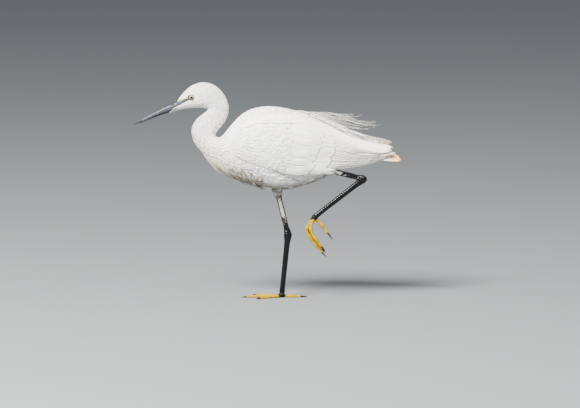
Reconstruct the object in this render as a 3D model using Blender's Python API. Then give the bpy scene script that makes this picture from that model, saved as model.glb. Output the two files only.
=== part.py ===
"""A little egret wading, life size, as a still museum model.

The bird walks towards -X. Its weight is on the right leg, and the left leg is lifted behind it.
Z is up and the floor is z = 0. The origin is on the floor, under the middle of the bird.
Sizes are written in millimetres, and MM turns them into Blender's metres.
"""

import math

import bmesh
import bpy
import numpy as np
from mathutils import Matrix, Vector

MM = 0.001
GAP = 0.3
CUT_GAP = 0.42
FLAT_ANGLE = 0.4
LEFT, RIGHT = -1, 1
SIDE_NAMES = {LEFT: "left", RIGHT: "right"}
ACROSS = Vector((0, 1, 0))

# The outline of the body from bill base to rump, seen from the side. Each row is one section:
# back x and z, belly x and z, half width, and how much wider the upper half is than the lower.
HEAD_STATIONS = (
    (-152.5, 337.5, -157.0, 318.5, 8.5, 0.00),
    (-137.0, 355.5, -141.0, 322.3, 13.0, 0.05),
    (-109.0, 367.4, -117.0, 324.0, 17.5, 0.10),
    (-82.0, 356.5, -104.5, 322.8, 16.5, 0.05),
)
NECK_STATIONS = (
    (-67.0, 331.0, -103.0, 320.0, 15.0, 0.00),
    (-67.5, 312.0, -108.0, 315.0, 15.5, 0.00),
    (-79.5, 291.5, -121.0, 304.5, 16.5, 0.00),
    (-88.0, 279.0, -129.6, 284.0, 17.5, 0.00),
    (-85.5, 274.6, -126.0, 267.0, 19.5, 0.00),
    (-79.0, 274.0, -114.0, 249.5, 24.0, 0.05),
)
BODY_STATIONS = (
    (-67.5, 286.0, -93.0, 228.0, 31.0, 0.10),
    (-43.0, 313.0, -58.0, 207.0, 39.5, 0.15),
    (-10.0, 326.0, -22.0, 194.0, 44.5, 0.15),
    (24.0, 324.5, 18.0, 184.5, 45.0, 0.15),
    (62.0, 315.5, 58.0, 190.5, 39.5, 0.15),
    (100.0, 300.0, 98.0, 205.5, 27.0, 0.10),
    (131.0, 277.0, 128.0, 217.5, 13.5, 0.00),
    (152.0, 262.0, 150.0, 223.0, 8.0, 0.00),
)
BODY_SIDES = 24
SECTION_STEP = 13.0
NECK_STEP = 7.0
HEAD_SIDES = 24
HEAD_STEP = 7.5


def spline(keys, rows):
    """Returns a function that reads a natural cubic spline through the rows, one row for each key."""
    keys, rows = np.array(keys, float), np.array(rows, float)
    last = len(keys) - 1
    step = np.diff(keys)
    system, right_side = np.eye(last + 1), np.zeros_like(rows)
    for i in range(1, last):
        system[i, i - 1 : i + 2] = step[i - 1], 2 * (step[i - 1] + step[i]), step[i]
        slopes = np.diff(rows[i - 1 : i + 2], axis=0) / step[i - 1 : i + 1, None]
        right_side[i] = 6 * (slopes[1] - slopes[0])
    bend = np.linalg.solve(system, right_side)

    def read(key):
        i = int(np.clip(np.searchsorted(keys, key) - 1, 0, last - 1))
        a, b = (keys[i + 1] - key) / step[i], (key - keys[i]) / step[i]
        curve = (a**3 - a) * bend[i] + (b**3 - b) * bend[i + 1]
        return a * rows[i] + b * rows[i + 1] + curve * step[i] ** 2 / 6

    return read


def mix(a, b, share):
    return a + (b - a) * share


def piecewise(share, *points):
    """A value read from straight lines between (share, value) points."""
    return float(np.interp(share, [p[0] for p in points], [p[1] for p in points]))


def link(name, mesh):
    """Puts a finished mesh in the scene as an object."""
    obj = bpy.data.objects.new(name, mesh)
    bpy.context.scene.collection.objects.link(obj)
    return obj


def from_bmesh(name, shape):
    mesh = bpy.data.meshes.new(name)
    bmesh.ops.recalc_face_normals(shape, faces=shape.faces)
    shape.to_mesh(mesh)
    shape.free()
    return link(name, mesh)


def loft(name, rings, columns=None):
    """A closed surface through rings of points in millimetres, with a flat face over each end.

    columns numbers the points of a thin section from one edge to the other, so that its two
    faces are split into triangles alike.
    """
    shape = bmesh.new()
    loops = [[shape.verts.new(Vector(p) * MM) for p in ring] for ring in rings]
    for near, far in zip(loops, loops[1:]):
        for i in range(len(near)):
            j = (i + 1) % len(near)
            if columns is None:
                shape.faces.new((near[i], near[j], far[j], far[i]))
            elif columns[i] <= columns[j]:
                shape.faces.new((near[i], near[j], far[j]))
                shape.faces.new((near[i], far[j], far[i]))
            else:
                shape.faces.new((near[i], near[j], far[i]))
                shape.faces.new((near[j], far[j], far[i]))
    shape.faces.new(loops[0])
    shape.faces.new(loops[-1])
    return from_bmesh(name, shape)


def evaluated_copy(obj):
    """The object's mesh with its modifiers applied, in world space."""
    graph = bpy.context.evaluated_depsgraph_get()
    mesh = bpy.data.meshes.new_from_object(obj.evaluated_get(graph), depsgraph=graph)
    mesh.transform(obj.matrix_world)
    return mesh


def discard(objects):
    for obj in objects:
        data = obj.data
        bpy.data.objects.remove(obj)
        if isinstance(data, bpy.types.Mesh):
            bpy.data.meshes.remove(data)


def largest_body(shape):
    """Deletes every closed surface of a bmesh but the one with the most volume."""
    left, bodies = set(shape.faces), []
    while left:
        front = [left.pop()]
        body = list(front)
        while front:
            face = front.pop()
            for edge in face.edges:
                for other in edge.link_faces:
                    if other in left:
                        left.remove(other)
                        front.append(other)
                        body.append(other)
        bodies.append(body)
    if len(bodies) > 1:
        centre = Vector((0, 0, 0))

        def volume(body):
            total = 0.0
            for face in body:
                corners = [v.co - centre for v in face.verts]
                for a, b in zip(corners[1:], corners[2:]):
                    total += corners[0].dot(a.cross(b)) / 6
            return total

        bodies.sort(key=volume)
        scraps = [face for body in bodies[:-1] for face in body]
        bmesh.ops.delete(shape, geom=scraps, context="FACES")
        loose = [v for v in shape.verts if not v.link_faces]
        bmesh.ops.delete(shape, geom=loose, context="VERTS")


def boolean(name, base, others, operation, solver="EXACT"):
    """Joins others to base, or cuts them from it, and returns the new object. The old ones are removed."""
    group = bpy.data.collections.new(name + "_others")
    for other in others:
        group.objects.link(other)
    modifier = base.modifiers.new("parts", "BOOLEAN")
    modifier.operation = operation
    modifier.operand_type = "COLLECTION"
    modifier.collection = group
    modifier.solver = solver
    bpy.context.view_layer.update()
    mesh = evaluated_copy(base)
    discard([base, *others])
    bpy.data.collections.remove(group)
    shape = bmesh.new()
    shape.from_mesh(mesh)
    bpy.data.meshes.remove(mesh)
    bmesh.ops.triangulate(shape, faces=shape.faces)
    bmesh.ops.remove_doubles(shape, verts=shape.verts, dist=0.0003 * MM)
    bmesh.ops.dissolve_limit(
        shape, angle_limit=math.radians(FLAT_ANGLE), verts=shape.verts, edges=shape.edges
    )
    bmesh.ops.triangulate(shape, faces=shape.faces)
    largest_body(shape)
    mesh = bpy.data.meshes.new(name)
    shape.to_mesh(mesh)
    shape.free()
    return link(name, mesh)


def union(name, pieces, solver="MANIFOLD"):
    return boolean(name, pieces[0], pieces[1:], "UNION", solver)


def difference(name, base, cutters, solver="MANIFOLD"):
    return boolean(name, base, cutters, "DIFFERENCE", solver)


def trim(obj, point, normal):
    """Cuts off what lies past a plane, in millimetres, and closes the cut with a flat face."""
    shape = bmesh.new()
    shape.from_mesh(obj.data)
    everything = [*shape.verts, *shape.edges, *shape.faces]
    cut = bmesh.ops.bisect_plane(
        shape,
        geom=everything,
        plane_co=Vector(point) * MM,
        plane_no=normal,
        clear_outer=True,
    )
    edges = [e for e in cut["geom_cut"] if isinstance(e, bmesh.types.BMEdge)]
    bmesh.ops.holes_fill(shape, edges=edges)
    bmesh.ops.recalc_face_normals(shape, faces=shape.faces)
    shape.to_mesh(obj.data)
    shape.free()
    return obj


def tube(name, path, radii, resolution=2):
    """A round limb: a curve with a bevel, its radius given at each point, made a closed mesh."""
    curve = bpy.data.curves.new(name, "CURVE")
    curve.dimensions = "3D"
    curve.bevel_depth = MM
    curve.bevel_resolution = resolution
    curve.use_fill_caps = True
    line = curve.splines.new("POLY")
    line.points.add(len(path) - 1)
    for point, place, radius in zip(line.points, path, radii):
        point.co = (*(Vector(place) * MM), 1)
        point.radius = radius
    guide = link(name, curve)
    bpy.context.view_layer.update()
    mesh = evaluated_copy(guide)
    bpy.data.objects.remove(guide)
    bpy.data.curves.remove(curve)
    shape = bmesh.new()
    shape.from_mesh(mesh)
    bpy.data.meshes.remove(mesh)
    bmesh.ops.remove_doubles(shape, verts=shape.verts, dist=0.01 * MM)
    return from_bmesh(name, shape)


def smooth_path(points, steps):
    """Points at even steps along a smooth curve through a few given ones."""
    ends = [0.0]
    for a, b in zip(points, points[1:]):
        ends.append(ends[-1] + (Vector(b) - Vector(a)).length)
    read = spline(ends, points)
    return [Vector(read(ends[-1] * i / steps)) for i in range(steps + 1)]


def blade(name, path, sideways, half_widths, thicknesses):
    """A flat tapered strip along a path: a feather's vane or a lock of plumes."""
    rings = []
    for i, centre in enumerate(path):
        ahead = path[min(i + 1, len(path) - 1)] - path[max(i - 1, 0)]
        side = Vector(sideways[i]).normalized()
        up = ahead.cross(side).normalized()
        side, up = side * half_widths[i], up * thicknesses[i] / 2
        edge = up * 0.6
        rings.append(
            (
                centre - side - edge,
                centre - side + edge,
                centre + up,
                centre + side + edge,
                centre + side - edge,
                centre - up,
            )
        )
    return loft(name, rings, VANE_COLUMNS)


VANE_COLUMNS = (0, 0, 1, 2, 2, 1)


def finish(obj, material, angle=40):
    """Gives a finished piece its material and smooth shading."""
    obj.data.materials.clear()
    obj.data.materials.append(material)
    obj.data.shade_smooth()
    obj.data.set_sharp_from_angle(angle=math.radians(angle))
    return obj


def material(name, colour, roughness):
    made = bpy.data.materials.new(name)
    made.use_nodes = True
    shader = made.node_tree.nodes["Principled BSDF"]
    shader.inputs["Base Color"].default_value = (*colour, 1)
    shader.inputs["Roughness"].default_value = roughness
    made.diffuse_color = (*colour, 1)
    return made


# The body: one long form from the bill's base to the rump, parted by thin cuts.

STATIONS = HEAD_STATIONS + NECK_STATIONS + BODY_STATIONS


def section_keys(stations):
    """How far along the middle line each section stands."""
    keys = [0.0]
    for a, b in zip(stations, stations[1:]):
        move = ((b[0] + b[2] - a[0] - a[2]) / 2, (b[1] + b[3] - a[1] - a[3]) / 2)
        keys.append(keys[-1] + math.hypot(*move))
    return keys


BODY_KEYS = section_keys(STATIONS)
read_body = spline(BODY_KEYS, STATIONS)
NECK_START, BREAST_START = BODY_KEYS[4], BODY_KEYS[9]
NECK_MIDDLE, TORSO_START, BODY_END = BODY_KEYS[7], BODY_KEYS[11], BODY_KEYS[-1]


def body_point(key, degrees, grow=0.0):
    """A point on the body: 0 degrees is the back, 90 the left side, 180 the belly."""
    back_x, back_z, belly_x, belly_z, half_width, fuller_above = read_body(key)
    back, belly = Vector((back_x, 0, back_z)), Vector((belly_x, 0, belly_z))
    up = (back - belly) / 2
    up_unit = up.normalized()
    turn = math.radians(degrees)
    wide = (half_width + grow) * (1 + fuller_above * math.cos(turn))
    height = (up.length + grow) * math.cos(turn)
    return (back + belly) / 2 + up_unit * height - ACROSS * wide * math.sin(turn)


def body_ring(key, grow=0.0, sides=BODY_SIDES):
    return [body_point(key, 360 * i / sides, grow) for i in range(sides)]


def ring_direction(key):
    """The way the body's middle line runs, square to the section there."""
    back_x, back_z, belly_x, belly_z = read_body(key)[:4]
    across = Vector((back_x - belly_x, 0, back_z - belly_z)).normalized()
    return Vector((across.z, 0, -across.x))


def body_rings(start, end, step=SECTION_STEP, sides=BODY_SIDES, grow=0.0):
    count = max(2, round((end - start) / step))
    return [body_ring(mix(start, end, i / count), grow, sides) for i in range(count + 1)]


def moved(ring, shift):
    return [point + shift for point in ring]


def body_length(name, start, end, step=SECTION_STEP, sides=BODY_SIDES):
    """A length of the body, from just past one section to another."""
    rings = body_rings(start, end, step, sides)
    if start > 0:
        rings[0] = moved(rings[0], ring_direction(start) * GAP)
    return loft(name, rings)


def body_cutter(start=BREAST_START):
    """The body grown by the gap, from the breast or the torso on, to cut its neighbours clear of it."""
    rings = body_rings(TORSO_START, BODY_END, grow=CUT_GAP)
    if start < TORSO_START:
        rings = body_rings(start, TORSO_START, grow=CUT_GAP)[:-1] + rings
        rings[0] = moved(rings[0], ring_direction(start) * -GAP)
    else:
        rings[0] = moved(rings[0], ring_direction(start) * 0.08)
    rings[-1] = moved(rings[-1], ring_direction(BODY_END) * GAP)
    return loft("body_cutter", rings)


# The head: eye sockets with a raised lid round each, and the line of the mouth below the lores.

EYE_KEY, EYE_ANGLE = mix(BODY_KEYS[1], BODY_KEYS[2], 0.40), 91
EYE_RADIUS, EYE_SUNK = 5.0, 3.4
LID_RADIUS, LID_THICK = 4.7, 0.95


def eye_centre(side):
    point = body_point(EYE_KEY, EYE_ANGLE)
    point.y = (abs(point.y) - EYE_SUNK) * side
    return point


def ball(name, centre, radius, segments=16, rings=10):
    """A round ball with its poles to the left and right."""
    bpy.ops.mesh.primitive_uv_sphere_add(
        segments=segments, ring_count=rings, radius=radius * MM, location=centre * MM
    )
    made = bpy.context.object
    made.rotation_euler.x = math.radians(90)
    bpy.context.view_layer.update()
    mesh = evaluated_copy(made)
    discard([made])
    return link(name, mesh)


def lid(side):
    """The ring of bare skin round the eye, standing a little proud of the feathers."""
    centre = eye_centre(side)
    bpy.ops.mesh.primitive_torus_add(
        major_radius=LID_RADIUS * MM,
        minor_radius=LID_THICK * MM,
        major_segments=20,
        minor_segments=6,
        location=(centre + ACROSS * side * (EYE_SUNK - 0.7)) * MM,
        rotation=(math.radians(90), 0, 0),
    )
    made = bpy.context.object
    bpy.context.view_layer.update()
    mesh = evaluated_copy(made)
    discard([made])
    return link("lid", mesh)


def mouth_groove(side):
    """The mouth's corner, a shallow groove from the bill back below the eye."""
    path = []
    for i in range(5):
        share = i / 4
        point = body_point(mix(-2.0, BODY_KEYS[1] * 0.78, share), mix(96, 110, share), 0.1)
        path.append(Vector((point.x, abs(point.y) * side, point.z)))
    return tube("groove", path, (0.75, 0.75, 0.7, 0.6, 0.35), 1)


def make_head(plumage):
    head = body_length("head_form", 0.0, NECK_START, HEAD_STEP, HEAD_SIDES)
    head = union("head_lidded", [head, lid(LEFT), lid(RIGHT)])
    cutters = []
    for side in (LEFT, RIGHT):
        cutters.append(ball("socket", eye_centre(side), EYE_RADIUS + GAP))
        cutters.append(mouth_groove(side))
    return finish(difference("head", head, cutters), plumage)


def make_eyes(eye_material):
    for side in (LEFT, RIGHT):
        eye = ball("eye_" + SIDE_NAMES[side], eye_centre(side), EYE_RADIUS)
        finish(eye, eye_material)


# The bill: two mandibles that meet along the mouth. Each row is a section, like the body's.

BILL_STATIONS = (
    (-152.9, 336.7, -157.3, 318.6, 7.4),
    (-165.0, 331.4, -169.0, 315.6, 6.2),
    (-181.0, 323.4, -184.5, 310.6, 4.9),
    (-197.0, 314.9, -199.8, 304.2, 3.9),
    (-211.0, 307.2, -213.0, 299.2, 2.8),
    (-221.5, 300.4, -222.6, 296.6, 1.6),
    (-226.5, 296.5, -227.0, 294.9, 0.7),
)
MOUTH_SHARE = 0.46
BILL_STEPS = 12
BILL_ARC = (-90, -62, -32, 0, 32, 62, 90)
NOSTRIL_AT, NOSTRIL_LENGTH = Vector((-162.5, 0, 328.4)), 7.0


def bill_half(name, upper):
    read = spline(section_keys(BILL_STATIONS), BILL_STATIONS)
    length = section_keys(BILL_STATIONS)[-1]
    rings = []
    for i in range(BILL_STEPS + 1):
        top_x, top_z, low_x, low_z, half_width = read(length * i / BILL_STEPS)
        top, low = Vector((top_x, 0, top_z)), Vector((low_x, 0, low_z))
        up = (top - low).normalized()
        mouth = low.lerp(top, MOUTH_SHARE) + up * (GAP / 2 if upper else -GAP / 2)
        reach = (top if upper else low) - mouth
        ring = []
        for degrees in BILL_ARC:
            turn = math.radians(degrees)
            ring.append(mouth + reach * math.cos(turn) + ACROSS * half_width * math.sin(turn))
        rings.append(ring)
    return loft(name, rings)


def nostril(side):
    """A slit low on the side of the upper mandible, near its base."""
    along = Vector((-0.93, 0, -0.37))
    middle = NOSTRIL_AT + ACROSS * side * 6.4
    ends = [middle - along * NOSTRIL_LENGTH / 2, middle, middle + along * NOSTRIL_LENGTH / 2]
    ends[2] -= ACROSS * side * 0.7
    return tube("nostril", ends, (0.4, 1.0, 0.4), 1)


def make_bill(horn):
    upper = bill_half("upper_form", True)
    upper = difference("bill_upper", upper, [nostril(LEFT), nostril(RIGHT)])
    finish(upper, horn)
    finish(bill_half("bill_lower", False), horn)


# The breast: long pointed plumes hang along the lower foreneck.

BREAST_PLUME_ROWS = (4, 5, 5, 4)
BREAST_PLUME_STEPS = 4


def breast_plume(share, row):
    """One lance-shaped plume, rooted in the breast and lying back along the belly."""
    angle = mix(134, 226, share)
    start = BREAST_START + 6 + 13 * row
    reach = 37 + 6 * math.sin(7.3 * share + 2 * row)
    centred = 1 - abs(share - 0.5) * 1.3
    path, sideways, half_widths, thicknesses = [], [], [], []
    for i in range(BREAST_PLUME_STEPS + 1):
        along = i / BREAST_PLUME_STEPS
        key = start + reach * along
        lift = mix(-2.2, 1.2, min(1, along * 3)) + 8.5 * centred * max(0, along - 0.3) ** 1.4
        path.append(body_point(key, angle, lift))
        sideways.append(body_point(key, angle + 4, lift) - body_point(key, angle - 4, lift))
        half_widths.append(piecewise(along, (0, 2.1), (0.4, 2.2), (0.8, 1.3), (1, 0.3)))
        thicknesses.append(piecewise(along, (0, 1.8), (0.7, 1.3), (1, 0.5)))
    return blade("plume", path, sideways, half_widths, thicknesses)


def make_breast(plumage):
    pieces = [body_length("breast_form", BREAST_START, TORSO_START)]
    for row, count in enumerate(BREAST_PLUME_ROWS):
        for i in range(count):
            pieces.append(breast_plume((i + 0.5) / count, row))
    whole = union("breast_whole", pieces)
    return finish(difference("breast", whole, [body_cutter(TORSO_START)]), plumage)


# The wings: each folded wing is a thin bed against the body, with its feathers laid on it in
# tiers. Each row is a section of the bed: back x and z, belly x and z, half width, and the
# angles of the wing's upper and lower edge.

WING_STATIONS = (
    (-65.0, 288.0, -91.0, 229.0, 32.5, 62, 92),
    (-43.0, 312.5, -58.0, 207.0, 41.3, 38, 108),
    (-10.0, 325.0, -22.0, 194.0, 46.3, 24, 117),
    (24.0, 323.0, 18.0, 184.5, 46.8, 20, 123),
    (62.0, 313.5, 58.0, 190.5, 41.5, 17, 126),
    (100.0, 297.0, 98.0, 205.5, 30.5, 14, 127),
    (135.0, 283.0, 135.0, 215.0, 20.5, 12, 130),
    (172.0, 272.5, 172.0, 225.5, 14.5, 14, 138),
    (213.0, 264.5, 213.0, 241.0, 11.0, 20, 130),
)
WING_BOX, WING_FULLER = 0.8, 0.15
LEFT_DROOP = 6.0


def make_wing_reader():
    keys = [(row[0] + row[2]) / 2 for row in WING_STATIONS]
    return spline(keys, WING_STATIONS)


read_wing = make_wing_reader()


def wing_point(side, x, degrees, lift=0.0):
    """A point over the folded wing: x along the bird, degrees from the back down, lift outwards."""
    back_x, back_z, belly_x, belly_z, half_width = read_wing(x)[:5]
    back, belly = Vector((back_x, 0, back_z)), Vector((belly_x, 0, belly_z))
    half = (back - belly) / 2
    turn = math.radians(degrees)
    up_unit, depth = half.normalized(), half.length
    level, out = math.cos(turn), abs(math.sin(turn)) ** WING_BOX
    out *= 1 + WING_FULLER * piecewise(x, (60, 1), (125, 0)) * level
    normal = Vector((level / depth, math.sin(turn) / half_width)).normalized()
    point = (back + belly) / 2 + up_unit * (depth * level + lift * normal.x)
    point += ACROSS * side * (half_width * out + lift * normal.y)
    if side == LEFT:
        point.z -= LEFT_DROOP * max(0, (x - 90) / 120) ** 2
    return point


def wing_edges(x):
    return read_wing(x)[5], read_wing(x)[6]


def wing_height(x, across):
    """How high the folded wing stands at a place seen from above."""
    back_x, back_z, belly_x, belly_z, half_width = read_wing(x)[:5]
    turn = math.asin(min(1.0, abs(across) / half_width) ** (1 / WING_BOX))
    return (back_z + belly_z) / 2 + (back_z - belly_z) / 2 * math.cos(turn)


# The torso and the mantle: the belly below, and the upper back with its long loose plumes.

MANTLE_POINT, MANTLE_NORMAL = Vector((0, 0, 302)), Vector((0.08, 0, 1)).normalized()
MANTLE_LENGTH = (TORSO_START, BODY_KEYS[15])
BACK_PLUME_LAYERS = 3
BACK_PLUMES_EACH = 6
BACK_PLUME_STEPS = 5
PLUME_CLEARANCE = 7.8
PLUME_RIDGE = ((40, 321), (60, 317), (85, 313), (110, 307.5), (135, 302), (160, 298), (200, 294))


def back_plume(layer, share):
    """One wispy plume from the mantle. It lies over the folded wings and curls up at its tip."""
    fan = mix(-1, 1, share)
    wave = math.sin(5.1 * layer + 9.7 * share)
    root_x = 44 + 15 * layer + 5 * wave
    length = 112 + 9 * wave - 14 * abs(fan) + 4 * layer
    path, sideways, half_widths, thicknesses = [], [], [], []
    for i in range(BACK_PLUME_STEPS + 1):
        along = i / BACK_PLUME_STEPS
        x = root_x + length * along
        rooted = 5.0 * (1 - min(1.0, along * 2.5)) ** 2
        curl = 9.0 * max(0, along - 0.6) ** 1.5 * (3 - layer)
        z = piecewise(x, *PLUME_RIDGE) - 4.2 * (2 - layer) - rooted + curl
        y = fan * (7 + 13 * along) + 1.5 * wave * along
        clear = PLUME_CLEARANCE * piecewise(abs(y), (4.5, 0), (8, 1)) * min(1, x / 85)
        z = max(z - 4.5 * fan**2, wing_height(x, y) + clear + 1.2 * layer * along)
        path.append(Vector((x, y, z)))
        sideways.append(Vector((0, 1, -0.5 * fan)))
        half_widths.append(piecewise(along, (0, 2.2), (0.3, 2.3), (0.75, 1.3), (1, 0.35)))
        thicknesses.append(piecewise(along, (0, 1.8), (0.7, 1.1), (1, 0.5)))
    return blade("plume", path, sideways, half_widths, thicknesses)


def make_torso(plumage):
    torso = body_length("torso", TORSO_START, BODY_END)
    trim(torso, MANTLE_POINT - MANTLE_NORMAL * GAP, MANTLE_NORMAL)
    finish(torso, plumage)
    mantle = body_length("mantle_form", TORSO_START, BODY_END)
    trim(mantle, MANTLE_POINT, -MANTLE_NORMAL)
    pieces = [mantle]
    for layer in range(BACK_PLUME_LAYERS):
        for i in range(BACK_PLUMES_EACH):
            pieces.append(back_plume(layer, (i + 0.5 * (layer % 2)) / (BACK_PLUMES_EACH - 0.5)))
    return finish(union("mantle", pieces), plumage)


# Feather shapes: the share of full width at each share of a feather's length.
FLIGHT_SHAPE = ((0, 0.5), (0.45, 1.0), (0.87, 0.85), (1.0, 0.14))
COVERT_SHAPE = ((0, 0.7), (0.72, 1.0), (1.0, 0.35))


def wing_vane(side, root, tip, width, shape, lifts, thick):
    """One feather on the wing. root and tip are (x, degrees), and lifts are its height at each."""
    rings = []
    for along, share in shape:
        x, degrees = mix(root[0], tip[0], along), mix(root[1], tip[1], along)
        lift = mix(lifts[0], lifts[1], min(1.0, along * 1.6))
        per_degree = (wing_point(side, x, degrees + 1) - wing_point(side, x, degrees)).length
        spread = width / 2 * share / per_degree
        low = lift - thick
        rings.append(
            (
                wing_point(side, x, degrees - spread, low),
                wing_point(side, x, degrees - spread, lift),
                wing_point(side, x, degrees, lift + 0.25),
                wing_point(side, x, degrees + spread, lift),
                wing_point(side, x, degrees + spread, low),
                wing_point(side, x, degrees, low),
            )
        )
    return loft("vane", rings, VANE_COLUMNS)


BED_END, BED_STEPS, BED_ARCS = 112.0, 12, 7


def wing_bed(side):
    """The folded arm and its skin: a curved plate that thins towards its edges."""
    start = (WING_STATIONS[0][0] + WING_STATIONS[0][2]) / 2
    rings = []
    for i in range(BED_STEPS + 1):
        x = mix(start, BED_END, i / BED_STEPS)
        top, low = wing_edges(x)
        outer, inner = [], []
        for j in range(BED_ARCS + 1):
            degrees = mix(top, low, j / BED_ARCS)
            edge = math.sin(math.pi * j / BED_ARCS) ** 0.5
            end = piecewise(i / BED_STEPS, (0, 0.0), (0.15, 1.0), (1, 1.0))
            outer.append(wing_point(side, x, degrees, mix(0.8, 1.7, edge * end)))
            inner.append(wing_point(side, x, degrees, -5.0 if x < 90 else -1.6))
        rings.append(outer + inner[::-1])
    return loft("bed", rings)


def tier(side, count, roots, tips, width, shape, lifts, rise, thick):
    """A row of like feathers. roots and tips give the first and last feather's (x, degrees)."""
    made = []
    for i in range(count):
        share = i / (count - 1)
        root = (mix(roots[0][0], roots[1][0], share), mix(roots[0][1], roots[1][1], share))
        tip = (mix(tips[0][0], tips[1][0], share), mix(tips[0][1], tips[1][1], share))
        step = rise * i
        made.append(
            wing_vane(
                side, root, tip, width, shape, (lifts[0] + step, lifts[1] + step), thick
            )
        )
    return made


# The tiers: how many feathers, the first and last feather's root and tip as (x, degrees), the
# feather's width and shape, its height at root and tip, the rise for each next one, its thickness.
PRIMARIES = (6, ((96, 120), (92, 84)), ((168, 130), (213, 70)), 17, FLIGHT_SHAPE, (-0.3, 0.0), 0.5, 1.0)
SECONDARIES = (6, ((84, 118), (78, 72)), ((146, 131), (198, 72)), 19, FLIGHT_SHAPE, (0.3, 2.0), 0.45, 0.9)
TERTIALS = (4, ((80, 66), (66, 36)), ((166, 68), (212, 44)), 20, FLIGHT_SHAPE, (0.6, 5.0), 0.5, 1.0)
GREATER_COVERTS = (
    7, ((50, 116), (56, 42)), ((98, 122), (122, 48)), 18, COVERT_SHAPE, (0.0, 3.0), 0.3, 3.0
)
MEDIAN_COVERTS = (
    6, ((10, 112), (18, 42)), ((54, 119), (72, 48)), 21, COVERT_SHAPE, (-0.2, 2.9), 0.14, 3.0
)
LESSER_COVERTS = (
    5, ((-38, 103), (-26, 48)), ((12, 113), (30, 52)), 22, COVERT_SHAPE, (-0.2, 2.7), 0.14, 2.7
)
SCAPULARS = (4, ((-42, 44), (54, 27)), ((20, 42), (124, 30)), 20, COVERT_SHAPE, (0.0, 3.4), 0.3, 3.0)
WING_TIERS = (
    PRIMARIES,
    SECONDARIES,
    TERTIALS,
    GREATER_COVERTS,
    MEDIAN_COVERTS,
    LESSER_COVERTS,
    SCAPULARS,
)


def make_wing(side, plumage):
    """Tiers from the lowest to the outermost, each feather over the one below it."""
    pieces = [wing_bed(side)]
    for row in WING_TIERS:
        pieces += tier(side, *row)
    name = "wing_" + SIDE_NAMES[side]
    wing = union(name + "_whole", pieces)
    return finish(difference(name, wing, [body_cutter()]), plumage)


# The tail: a short root behind the rump, and twelve feathers folded into a low roof.

TAIL_FEATHERS = 10
TAIL_START, TAIL_END = 152.4, 227.0


def tail_feather(index):
    """One feather of the roof. The middle ones lie highest, and the outer ones reach furthest."""
    share = index / (TAIL_FEATHERS - 1)
    fan = mix(-1, 1, share)
    outward = abs(fan)
    path, sideways, half_widths, thicknesses = [], [], [], []
    for i in range(5):
        along = i / 4
        x = mix(158, TAIL_END - 10 * (1 - outward), along)
        y = fan * mix(3.2, 8.8, along)
        z = mix(249, 247.0, along) - outward * mix(7.0, 11.5, along)
        path.append(Vector((x, y, z)))
        sideways.append(Vector((0, 1, -1.2 * fan)))
        half_widths.append(piecewise(along, (0, 2.0), (0.55, 4.2), (0.85, 4.0), (1, 1.2)))
        thicknesses.append(piecewise(along, (0, 1.4), (1, 0.9)))
    return blade("vane", path, sideways, half_widths, thicknesses)


def make_tail(plumage):
    rings = []
    for x, top, low, half_width in ((TAIL_START, 262, 223.5, 7.8), (165, 255, 228, 6.6), (180, 247, 232, 4.6)):
        ring = []
        for i in range(12):
            turn = math.tau * i / 12
            level = (top + low) / 2 + (top - low) / 2 * math.cos(turn)
            ring.append(Vector((x, half_width * math.sin(turn), level)))
        rings.append(ring)
    pieces = [loft("root", rings)]
    pieces += [tail_feather(i) for i in range(TAIL_FEATHERS)]
    return finish(union("tail", pieces), plumage)


# The legs. Each is a feathered thigh, a bare shank, the long tarsus and the foot.

LEGS = {
    LEFT: {
        "knee": Vector((23.5, -24.0, 240.5)),
        "ankle": Vector((162.5, -21.0, 205.0)),
        "toe_joint": Vector((79.0, -18.0, 139.4)),
        "feathers_end": 0.685,
        "thigh_radii": (15.0, 14.0, 12.0, 9.0, 5.8),
    },
    RIGHT: {
        "knee": Vector((-0.5, 19.0, 248.5)),
        "ankle": Vector((34.5, 4.5, 107.6)),
        "toe_joint": Vector((24.0, 0.0, 5.6)),
        "feathers_end": 0.54,
        "thigh_radii": (17.0, 17.0, 16.0, 12.0, 6.0),
    },
}
SHANK_STEPS = ((0, 4.4), (0.3, 4.3), (0.65, 4.3), (0.88, 4.8), (1.0, 5.3))
TARSUS_STEPS = (
    (-0.052, 1.8),
    (-0.043, 3.9),
    (-0.024, 5.6),
    (0.0, 6.3),
    (0.04, 6.2),
    (0.1, 5.2),
    (0.18, 4.6),
    (0.5, 4.3),
    (0.86, 4.1),
    (0.955, 4.4),
)


def limb(name, start, end, steps, grow=0.0):
    path = [start.lerp(end, share) for share, _ in steps]
    path[0] += (path[0] - path[1]).normalized() * grow
    return tube(name, path, [radius + grow for _, radius in steps], 3)


def wing_cover(side):
    """A block over all that the folded wing covers, to keep the thigh inside it."""
    rings = []
    for i in range(9):
        x = mix(-70, 200, i / 8)
        top, low = wing_edges(x)
        low += piecewise(x, (40, 7), (95, 22))
        arc = [mix(top, low, j / 8) for j in range(9)]
        outer = [wing_point(side, x, degrees, 6.0) for degrees in arc]
        inner = [wing_point(side, x, degrees, -7.0) for degrees in arc]
        rings.append(outer + inner[::-1])
    return loft("cover", rings)


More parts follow.
